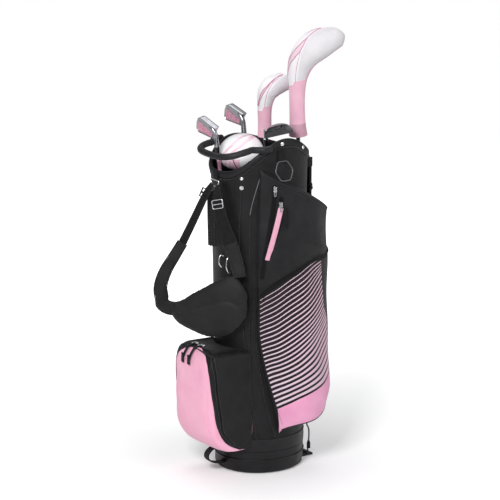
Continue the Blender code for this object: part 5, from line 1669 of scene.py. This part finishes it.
class Club:
    """A straight club from its butt on the boot's floor to its head."""

    def __init__(self, butt, top, hosel_z):
        self.low = Vector((*butt, BOOT_FLOOR + GAP))
        self.axis = (Vector((*top, 0.80)) - self.low).normalized()
        self.low += self.axis * (GRIP_BUTT * math.sqrt(1 - self.axis.z ** 2) / self.axis.z)
        self.hosel = self.low + self.axis * ((hosel_z - self.low.z) / self.axis.z)

    def stick(self, name, shaft_finish):
        """Grip with its ridges and cap, tapered shaft, ferrule."""
        cap = [(0.0, GRIP_BUTT * 0.82), (0.0012, GRIP_BUTT * 0.98), (0.004, GRIP_BUTT)]
        ridges = []
        count = 64
        for i in range(count + 1):
            share = i / count
            radius = GRIP_BUTT + (GRIP_MOUTH - GRIP_BUTT) * share
            dent = 0.00035 if i % 2 and 3 < i < count - 3 else 0.0
            ridges.append((0.005 + share * (GRIP_LENGTH - 0.007), radius - dent))
        mouth = [(GRIP_LENGTH - 0.0008, GRIP_MOUTH * 0.95), (GRIP_LENGTH, SHAFT_BUTT + 0.0006)]
        grip = turned("grip", self.low, self.axis, cap + ridges + mouth, 36)
        stand_in(name + "_grip_rubber", grip, GRIP_RUBBER, name + "_grip", 40.0)
        start = self.low + self.axis * (GRIP_LENGTH + GAP)
        length = (self.hosel - start).length - GAP
        shaft = turned("shaft", start, self.axis,
                       [(0.0, SHAFT_BUTT), (length * 0.5, (SHAFT_BUTT + SHAFT_TIP) / 2),
                        (length, SHAFT_TIP)], 30)
        stand_in(name + "_shaft_tube", shaft, shaft_finish, name + "_shaft", 40.0)
        ferrule = turned("ferrule", self.hosel - self.axis * 0.020, self.axis,
                         [(0.0, SHAFT_TIP + 0.0003), (0.004, SHAFT_TIP + 0.0008),
                          (0.0165, HOSEL_RADIUS * 0.93), (0.0195, HOSEL_RADIUS * 0.93)], 30)
        piece(name + "_ferrule", ferrule, FERRULE, BODY_OF[name + "_shaft"],
              "moulded black plastic", smooth=40.0)


def head_frame(club, heading, lie):
    """Toe, sole and face directions of an upturned head on a club's line."""
    turn = math.radians(heading)
    flat = Vector((math.cos(turn), math.sin(turn), 0.0))
    flat = (flat - club.axis * flat.dot(club.axis)).normalized()
    rise = math.radians(90.0 - lie)
    toe = flat * math.cos(rise) + club.axis * math.sin(rise)
    sole = club.axis * math.cos(rise) - flat * math.sin(rise)
    return toe, sole, toe.cross(sole)

# %% Irons: a wedge with a cavity in its back, a badge in the cavity, a bent hosel
IRON_BLADE, IRON_HEEL, IRON_TOE, IRON_TOP, IRON_NECK = 0.064, 0.034, 0.050, 0.010, 0.034
CAVITY_DEPTH = 0.0014


def smooth_step(value, low, high):
    t = min(1.0, max(0.0, (value - low) / (high - low)))
    return t * t * (3 - 2 * t)


def in_cavity(u, v):
    """1 well inside the cavity of the blade's back, 0 outside, soft at its edge."""
    return (smooth_step(u, 0.05, 0.09) * (1 - smooth_step(u, 0.91, 0.96))
            * smooth_step(v, 0.04, 0.09) * (1 - smooth_step(v, 0.70, 0.78)))


def badge_metal():
    """The iron's badge: brushed pink metal with a fine mottled etch."""
    made, tree, here = new_material("pink_badge")
    etch = add(tree, "ShaderNodeTexVoronoi", {"Vector": here, "Scale": per_metre(5.0)},
               feature="DISTANCE_TO_EDGE")
    line = ramped(tree, etch.outputs["Distance"], 0.02, 0.10)
    colour = mixed(tree, line, linear("#8D8288"), shades(tree, here, "#D987A4", "#EFAEC4", 6.0))
    return finished(made, {"Base Color": colour, "Metallic": 0.25, "Roughness": 0.35,
                           "Normal": bumps(tree, (line, 0.12))})


BADGE = badge_metal()


def iron_head(name, club, heading):
    toe, sole, face = head_frame(club, heading, 66.0)
    bend = club.hosel + club.axis * IRON_NECK
    heel = bend + toe * 0.006 + sole * 0.006

    def blade(u, v, w):
        height = IRON_HEEL + (IRON_TOE - IRON_HEEL) * u
        nose = 0.012 * max(0.0, (u - 0.7) / 0.3) ** 2
        thick = 0.004 + 0.014 * v ** 2
        corner = 0.5 + (v - 0.5) * math.sqrt(1 - 0.45 * max(0.0, (u - 0.78) / 0.22) ** 2)
        rise = IRON_TOP - (1 - corner) * height + nose * (0.7 - corner)
        reach = u * (IRON_BLADE - nose * 0.4 * abs(2 * corner - 1)) - 0.004
        edge = min(min(u, 1 - u) * IRON_BLADE, min(v, 1 - v) * height)
        fall = min(0.45, rounding(edge, 0.0022) / thick)
        place = fall + w * (1 - 2 * fall)
        if w == 0.0:
            place += CAVITY_DEPTH * in_cavity(u, v) / thick
        return (heel + toe * reach + sole * rise
                + face * ((place - 0.5) * thick + v * 0.004))

    mesh = skin("blade", blade, 56, 44, lambda u, v: (u * IRON_BLADE, v * IRON_TOE), 4)
    neck_line = [club.hosel + club.axis * 0.0002, club.hosel + club.axis * 0.016,
                 bend - club.axis * 0.006, bend + toe * 0.002 + club.axis * 0.001,
                 heel + toe * 0.006 + sole * 0.001, heel + toe * 0.013 + sole * 0.002]
    neck = sweep("neck", smooth_path(neck_line, 60),
                 lambda share: circle(HOSEL_RADIUS * (1.0 - 0.22 * share), 28))
    body = BODY_OF[name + "_head"]
    slot = SLOT_OF[name + "_head"]
    stand_in(name + "_blade", mesh, CAST_STEEL, name + "_head", 40.0)
    piece(name + "_neck", neck, CAST_STEEL, body, slot, smooth=50.0)

    def badge(u, v, w):
        side = 0.10 + 0.80 * u
        low = 0.10 + 0.58 * v * (0.55 + 0.45 * u)
        return blade(side, low, 0.0) - face * ((0.2 + 0.8 * w) * 0.0007 - 0.0001)

    plate = skin("badge", badge, 24, 14, lambda u, v: (u * IRON_BLADE, v * IRON_TOE), 1)
    piece(name + "_badge", plate, BADGE, body, slot, smooth=35.0)
    lines = []
    for i in range(9):
        v = 0.22 + 0.055 * i
        lines.append([(blade(0.24 + 0.60 * k / 30, v, 1.0), face) for k in range(31)])
    row_along(name + "_score_lines", TOOTH_TREE, lines, 0.0010, (0.0004, 0.0012, 0.00025),
              DARK_PLATE, body, slot)


left = Club((0.020, 0.055), (-0.1010, 0.031), 0.826)
right = Club((0.062, 0.040), (0.018, 0.086), 0.832)
for name, club in (("left_iron", left), ("right_iron", right)):
    iron_head(name, club, 100.0)
    club.stick(name, LIGHT_PINK)
print("irons")

# %% Putter: a half-round head with a bright sole plate
putter = Club((-0.005, -0.062), (-0.011, -0.047), 0.846)
PUTTER_HALF, PUTTER_DEPTH, PUTTER_THICK = 0.037, 0.050, 0.026
toe, sole, face = head_frame(putter, -35.0, 78.0)
PUTTER_PAINT = gloss_paint("dark_grey_putter_paint", "#3C3C3E", "#505052", 0.30)
PUTTER_TILT = 0.22              # the bright sole plate sits askew on the dome


def dome_share(rise):
    """How wide the dome still is at a share of its height from 0 to 1."""
    return math.sqrt(max(0.02, 1.0 - (0.92 * max(0.0, rise)) ** 2.6))


def putter_layer(grow, low, high, tilt_low, tilt_high, rows=12):
    """A slice of the domed head between two shares of its height, each end tilted or level."""
    centre = (putter.hosel + toe * (PUTTER_HALF - 0.003) + sole * 0.004 + face * 0.012)
    rings = []
    for row in range(rows + 1):
        t = row / rows
        ring = []
        for k in range(72):
            if k < 48:
                turn = math.pi * k / 48
                x, y = -math.cos(turn), -math.sin(turn)
            else:
                x, y = 1 - 2 * (k - 48) / 24, 0.0
            shift = (tilt_low * (1 - t) + tilt_high * t) * x
            rise = min(0.999, low + (high - low) * t + shift)
            wide = dome_share(rise) if rise > 0 else 1.0
            inner = 1.0 - 0.06 * max(0.0, 1 - rise / 0.08)
            px = x * (PUTTER_HALF + grow) * wide * inner
            py = -0.006 * wide + y * (PUTTER_DEPTH + grow) * wide * inner
            ring.append(centre + toe * px + face * py + sole * PUTTER_THICK * rise)
        rings.append(ring)
    count = len(rings[0])
    points = [p for ring in rings for p in ring]
    faces = ring_quads(rows, count)[0]
    for start, turned_over in ((0, True), (rows * count, False)):
        spot = len(points)
        ring = points[start:start + count]
        points.append(sum(ring, Vector()) / count)
        for i in range(count):
            edge_pair = (start + i, start + (i + 1) % count)
            faces.append((spot,) + (edge_pair[::-1] if turned_over else edge_pair))
    return closed_mesh("putter", points, faces)


body = BODY_OF["putter_head"]
slot = SLOT_OF["putter_head"]
piece("putter_shell", putter_layer(-0.0002, 0.0, 0.66, 0.0, PUTTER_TILT), PUTTER_PAINT, body,
      slot, ("putter_head",), 50.0)
piece("putter_groove", putter_layer(-0.0016, 0.655, 0.705, PUTTER_TILT, PUTTER_TILT, 2), FERRULE,
      body, slot, smooth=50.0)
piece("putter_sole", putter_layer(-0.0001, 0.70, 0.995, PUTTER_TILT, 0.0), BRUSHED, body, slot,
      smooth=50.0)
neck = turned("neck", putter.hosel + putter.axis * 0.0002, putter.axis,
              [(0.0, 0.0052), (0.0012, 0.0055), (0.026, 0.0055)], 30)
piece("putter_neck", neck, NICKEL, body, slot, smooth=40.0)
putter.stick("putter", BRUSHED)

# %% [markdown]
# ## Woods and their knit covers
# The open wood is an egg with a clear coat over white and two soft pink bands. The covers are
# lofts through stations: a knit sleeve, then a padded sock of pink, white and grey mesh panels,
# with piping along the panel seams. The maps carry each point's distance from those seams.

# %% Open wood
WOOD_NECK = 0.024


def egg(name, centre, axes, halves, taper=0.10, around=96, rows=64):
    """An egg skin with a map of its own x and y, and one of its z."""
    points, spots = [], []
    for j in range(1, rows):
        lat = math.pi * j / rows - math.pi / 2
        for i in range(around):
            turn = 2 * math.pi * i / around
            spots.append((math.sin(lat), math.cos(lat) * math.cos(turn),
                          math.cos(lat) * math.sin(turn)))
    spots += [(-1.0, 0.0, 0.0), (1.0, 0.0, 0.0)]
    for x, y, z in spots:
        shrink = 1.0 - taper * x
        points.append(Vector(centre) + axes[0] * x * halves[0] + axes[1] * y * halves[1] * shrink
                      + axes[2] * z * halves[2] * shrink)
    faces = ring_quads(rows - 2, around)[0]
    last = (rows - 2) * around
    low, high = len(spots) - 2, len(spots) - 1
    for i in range(around):
        k = (i + 1) % around
        faces.append((low, k, i))
        faces.append((high, last + i, last + k))
    return closed_mesh(name, points, faces, metres=[[spots[q][:2] for q in f] for f in faces],
                       height=[[(spots[q][2], 0.0) for q in f] for f in faces])


BAND_A = ((-0.9, -0.7, -0.46, -0.31, 0.0, 0.24, 0.46, 0.9),
          (-0.95, -0.74, -0.51, -0.345, -0.155, 0.0, 0.17, 0.52))
BAND_B = ((-0.95, -0.75, -0.535, -0.335, 0.10, 0.62, 0.9),
          (-0.60, -0.38, -0.165, 0.065, 0.33, 0.55, 0.68))


def band_map(x, y):
    """Distance of a point of the egg from the middle of each of the two bands."""
    away = []
    for xs, ys in (BAND_A, BAND_B):
        line = smooth_path([(p, q, 0.0) for p, q in zip(xs, ys)], 60)
        away.append(y - float(np.interp(x, [p.x for p in line], [p.y for p in line])))
    return away[0] + 2.0, away[1] + 2.0


def wood_paint():
    made, tree, here = new_material("white_gloss_with_pink_bands")
    x, y = map_axes(tree)
    z = map_axes(tree, "height")[0]
    colour = shades(tree, here, "#F6F5F7", "#FCFBFC", 50.0)
    for away, tint, wide in zip(map_axes(tree, "bands"), ("#EBC9D9", "#F3CBDC"), (0.10, 0.095)):
        off = number(tree, "ABSOLUTE", number(tree, "SUBTRACT", away, 2.0))
        band = ramped(tree, off, wide * 1.15, wide * 0.8)
        band = number(tree, "MULTIPLY", band, number(tree, "GREATER_THAN", z, 0.0))
        band = number(tree, "MULTIPLY", band, ramped(tree, x, 0.95, 0.75))
        colour = mixed(tree, band, colour, linear(tint))
    near = number(tree, "ABSOLUTE", number(tree, "ADD", y, 0.14))
    heel = number(tree, "MULTIPLY", ramped(tree, x, -0.850, -0.865),
                  ramped(tree, near, 0.25, 0.22))
    heel = number(tree, "MULTIPLY", heel, number(tree, "LESS_THAN", z, 0.50))
    colour = mixed(tree, heel, colour, linear("#F4C8D9"))
    bow = number(tree, "ADD", number(tree, "MULTIPLY", z, 0.28), y)
    slit = number(tree, "LESS_THAN", number(tree, "ABSOLUTE", number(tree, "ADD", bow, 0.05)),
                  0.020)
    slit = number(tree, "MULTIPLY", slit, heel)
    colour = mixed(tree, slit, colour, linear("#5E1C36"))
    return finished(made, {"Base Color": colour, "Roughness": 0.22, "Coat Weight": 0.8,
                           "Coat Roughness": 0.05})


wood = Club((-0.058, -0.026), (-0.051, 0.0090), 0.751)
toe, sole, face = head_frame(wood, 45.0, 58.0)
halves = (0.057, 0.0575, 0.034)
wood_neck = wood.hosel + wood.axis * WOOD_NECK
centre = wood_neck + toe * halves[0] * 0.74 + sole * halves[2] * 0.25 - face * halves[1] * 0.05
body, slot = BODY_OF["open_wood_head"], SLOT_OF["open_wood_head"]
egg_mesh = second_map(egg("egg", centre, (toe, face, sole), halves), "bands", 1.0, 1.0, band_map)
piece("open_wood_shell", egg_mesh, wood_paint(), body, slot, ("open_wood_head",), 60.0)
hosel = turned("hosel", wood.hosel + wood.axis * 0.0002, wood.axis,
               [(0.0, HOSEL_RADIUS * 0.92), (0.001, HOSEL_RADIUS), (0.029, HOSEL_RADIUS),
                (0.0318, HOSEL_RADIUS * 0.9)], 32)
piece("open_wood_hosel", hosel, NICKEL, body, slot, smooth=40.0)
wood.stick("open_wood", DARK_PAINT)
for name, butt, top, hosel_z in (("driver", (0.066, -0.036), (0.0895, -0.0395), 1.008),
                                 ("hybrid", (0.015, 0.005), (0.0420, 0.0300), 0.920)):
    softened(name + "_head", DARK_PAINT, 0.0, 60.0)
    Club(butt, top, hosel_z).stick(name, DARK_PAINT)
print("woods")

# %% Covers: where their seams run, as degrees round against share along
FACING = Vector((0.57, 0.82, 0.0))
COVER_WALL, SLEEVE_RADIUS, COVER_DEPTH = 0.0035, 0.0195, 0.9
COVER_STEPS, COVER_AROUND = 150, 120
COVERS = {
    "driver_cover": dict(
        stations=[(0.0905, -0.0400, 0.842, 0.0235), (0.0895, -0.0395, 0.862, 0.0210),
                  (0.0885, -0.0385, 0.893, 0.0195), (0.0880, -0.0380, 0.931, 0.0195),
                  (0.0885, -0.0385, 0.969, 0.0215), (0.0910, -0.0400, 1.001, 0.0270),
                  (0.0980, -0.0450, 1.030, 0.0330), (0.1110, -0.0540, 1.054, 0.0370),
                  (0.1290, -0.0670, 1.071, 0.0370), (0.1500, -0.0810, 1.082, 0.0325),
                  (0.1700, -0.0960, 1.090, 0.0240), (0.1830, -0.1050, 1.096, 0.0120)],
        cuff=0.128,
        sleeve=((90, 149, 156, 186, 217, 270), (0.353, 0.373, 0.393, 0.407, 0.417, 0.420)),
        white=((0.35, 0.407, 0.473, 0.527, 0.58, 0.61, 0.657, 0.69, 0.73, 0.77, 0.827, 1.0),
               (168, 166, 163, 159, 152, 144, 134, 119, 111, 100, 88, 70)),
        pipe_a=((0.42, 0.50, 0.55, 0.607, 0.65, 0.69, 0.73, 0.77, 0.80, 1.0),
                (88, 92, 109, 119, 121, 119, 111, 100, 91, 60)),
        pipe_b=((0.43, 0.463, 0.50, 0.55, 0.603, 0.653, 0.69, 0.73, 0.77, 1.0),
                (97, 109, 119, 135, 143, 137, 122, 112, 100, 60)),
        under=((0.36, 0.45, 0.523, 0.577, 0.657, 0.793, 0.863, 1.0),
               (236, 232, 232, 240, 250, 256, 256, 262))),
    "hybrid_cover": dict(
        stations=[(0.0385, 0.0300, 0.832, 0.0180), (0.0390, 0.0310, 0.869, 0.0170),
                  (0.0400, 0.0330, 0.900, 0.0180), (0.0425, 0.0330, 0.924, 0.0215),
                  (0.0480, 0.0310, 0.944, 0.0255), (0.0590, 0.0270, 0.957, 0.0265),
                  (0.0760, 0.0190, 0.965, 0.0240), (0.0950, 0.0110, 0.968, 0.0190),
                  (0.1070, 0.0060, 0.969, 0.0110)],
        cuff=0.0,
        sleeve=((90, 129, 159, 174, 221, 270), (0.238, 0.240, 0.243, 0.293, 0.310, 0.315)),
        white=((0.22, 0.397, 0.51, 0.603, 0.703, 0.773, 0.85, 1.0),
               (178, 178, 174, 162, 143, 123, 104, 80)),
        pipe_a=((0.30, 0.40, 0.48, 0.557, 0.64, 0.70, 0.767, 0.85, 1.0),
                (118, 134, 143, 150, 142, 132, 117, 98, 60)),
        pipe_b=((0.30, 0.407, 0.467, 0.503, 0.563, 0.66, 0.73, 1.0),
                (128, 146, 154, 157, 156, 144, 126, 60)),
        under=((0.22, 0.36, 0.63, 0.83, 1.0), (232, 240, 250, 252, 258)))}


def cover_ring(route, i, inset):
    """Middle, two directions and two half sizes of the sock at a station."""
    station = route[i]
    axis = (route[min(i + 1, COVER_STEPS)].to_3d() - route[max(i - 1, 0)].to_3d()).normalized()
    side = (FACING - axis * FACING.dot(axis)).normalized()
    up = axis.cross(side)
    half = station[3]
    deep = half + COVER_DEPTH * max(0.0, half - SLEEVE_RADIUS)
    half, deep = max(0.0015, half - inset), max(0.0015, deep - inset)
    return station.to_3d(), side, up, half, deep


def closed_tip(share):
    """How wide the sock still is where its end rounds off."""
    return max(0.12, math.sqrt(max(0.0, 1 - max(0.0, (share - 0.93) / 0.07) ** 2)))


def cover_point(ring, share, turn, tip):
    """A point round one ring of the sock, with its slow padded waves."""
    middle, side, up, half, deep = ring
    soft = 1.0 + 0.012 * math.sin(3 * turn + 26 * share) * smooth_step(share, 0.4, 0.55)
    return middle + (side * deep * math.cos(turn)
                     + up * half * math.sin(turn)) * tip * soft * 0.985


def cover_mesh(name, plan):
    """A closed shell, inside and outside, with maps of the distances from its seams."""
    steps, around = COVER_STEPS, COVER_AROUND
    route = smooth_path(plan["stations"], steps)
    order = [(i, COVER_WALL) for i in range(steps - 6, -1, -3)]
    order += [(0, 0.0008), (1, -0.0002)] + [(i, 0.0) for i in range(2, steps + 1)]

    def fields(share, degrees, half):
        """Share along, and how far the point is past each seam, kept above 0."""
        seen = degrees if 90 <= degrees <= 270 else (180.0 - degrees) % 360.0
        metre = half * math.pi / 180.0
        return ((share - float(np.interp(seen, *plan["sleeve"]))) + 0.5,
                *((seen - float(np.interp(share, *plan[seam]))) * metre + 0.5
                  for seam in ("white", "pipe_a", "pipe_b", "under")), share)

    points, known = [], []
    for i, inset in order:
        ring = cover_ring(route, i, inset)
        share = i / steps
        tip = closed_tip(share) if inset == 0 else 1.0
        turns = [360.0 * k / around for k in range(around)]
        points += [cover_point(ring, share, math.radians(turn), tip) for turn in turns]
        known.append([fields(share, turn, ring[3]) for turn in turns])
    faces, corners = ring_quads(len(order) - 1, around)
    uvs = [[(0.13 * a / around, 0.4 * known[b][0][5]) for a, b in spots] for spots in corners]
    seams = [[known[b][a % around] for a, b in spots] for spots in corners]
    last = (len(order) - 1) * around
    for ring, flip, row in ((range(around), True, 0), (range(last, last + around), False, -1)):
        faces.append(tuple(reversed(ring)) if flip else tuple(ring))
        uvs.append([(0.0, 0.0)] * around)
        seams.append(known[row][::-1] if flip else known[row])
    pairs = {title: [[corner[at:at + 2] for corner in face] for face in seams]
             for title, at in (("panel", 0), ("pipes", 2), ("under", 4))}
    return closed_mesh(name, points, faces, metres=uvs, **pairs), route


def knit(name, cuff):
    """One sewn knit of four colours: sleeve, white and grey panels, pink underside in painted
    shade.
    """
    made, tree, here = new_material(name)
    off_sleeve, off_white = map_axes(tree, "panel")
    off_pipe_a, off_pipe_b = map_axes(tree, "pipes")
    off_under, share = map_axes(tree, "under")
    across, along_cloth = map_axes(tree)
    sleeve = ramped(tree, off_sleeve, 0.498, 0.502)
    white = shades(tree, here, "#F0EDF1", "#F8F5F8", 30.0)
    grey = shades(tree, here, "#D2CFD3", "#DDD9DD", 25.0)
    ribs = ramped(tree, waves(tree, along_cloth, 4.2), 0.2, 0.9, 0.0, 0.55)
    grey = mixed(tree, ribs, grey, linear("#F0EEF1"))
    blush = shades(tree, here, "#EBCBD9", "#F2D8E3", 30.0)
    pink = shades(tree, here, "#EDB2C9", "#F3C1D3", 40.0)
    # painted shade: the underside panel is pink cloth painted darker, as the side turned away from
    # the lamps
    underside_painted_shade = shades(tree, here, "#D9A9BC", "#E3B7C8", 30.0)
    panel = mixed(tree, ramped(tree, off_white, 0.5005, 0.508), white, grey)
    between = number(tree, "MULTIPLY", ramped(tree, off_pipe_a, 0.4995, 0.5005),
                     ramped(tree, off_pipe_b, 0.5005, 0.4995))
    panel = mixed(tree, between, panel, blush)
    panel = mixed(tree, ramped(tree, off_under, 0.4997, 0.5003), panel, underside_painted_shade)
    colour = mixed(tree, sleeve, pink, panel)
    if cuff:
        colour = mixed(tree, ramped(tree, share, cuff + 0.004, cuff - 0.004), colour,
                       shades(tree, here, "#C897A9", "#D3A5B6", 20.0))
    threads = weave(tree, uv_place(tree), 1.6)
    rib = number(tree, "MULTIPLY", waves(tree, across, 2.6),
                 number(tree, "SUBTRACT", 1.0, sleeve))
    return finished(made, {"Base Color": colour, "Roughness": 0.85, "Sheen Weight": 0.2,
                           "Sheen Roughness": 0.5, "Specular IOR Level": 0.25,
                           "Normal": bumps(tree, (noise(tree, here, 24.0), 1.2), (threads, 0.10),
                                           (rib, 0.22))})


ROSE_PIPING = nylon("rose_piping_cord", "#BF8BA0", "#D09FB2", rough=0.6, uv=False, crease=0.1)


def on_cover(route, share, degrees, lift):
    """A point on the sock, lifted off its skin."""
    ring = cover_ring(route, min(COVER_STEPS, max(0, round(share * COVER_STEPS))), 0.0)
    side, up, half, deep = ring[1:]
    turn = math.radians(degrees)
    away = (side * math.cos(turn) / deep + up * math.sin(turn) / half).normalized()
    return cover_point(ring, share, turn, closed_tip(share)) + away * lift


for name, plan in COVERS.items():
    mesh, route = cover_mesh(name, plan)
    made = stand_in(name + "_knit", mesh, knit(name + "_knit", plan["cuff"]), name)
    cords = []
    tracks = [("white", 0.0, 0.80), ("pipe_a", 0.0, 0.80), ("pipe_b", 0.0, 0.70),
              ("under", 0.0, 0.93)]
    for key, low, high in tracks:
        shares, turns = plan[key]
        start = max(shares[0], float(np.interp(np.interp(0.5, shares, turns), *plan["sleeve"])))
        for mirror in (False, True):
            line = []
            for step in range(61):
                share = start + (high - start) * step / 60
                degrees = float(np.interp(share, shares, turns))
                if mirror:
                    degrees = (180.0 - degrees) % 360.0
                line.append(on_cover(route, share, degrees, 0.0002))
            radius = 0.0013 if key != "white" else 0.0007
            cords.append(sweep("cord", smooth_path(line[::3], 60), circle(radius, 8)))
    piece(name + "_piping", joined(cords, "piping"), ROSE_PIPING, BODY_OF[name], SLOT_OF[name])
print("covers")
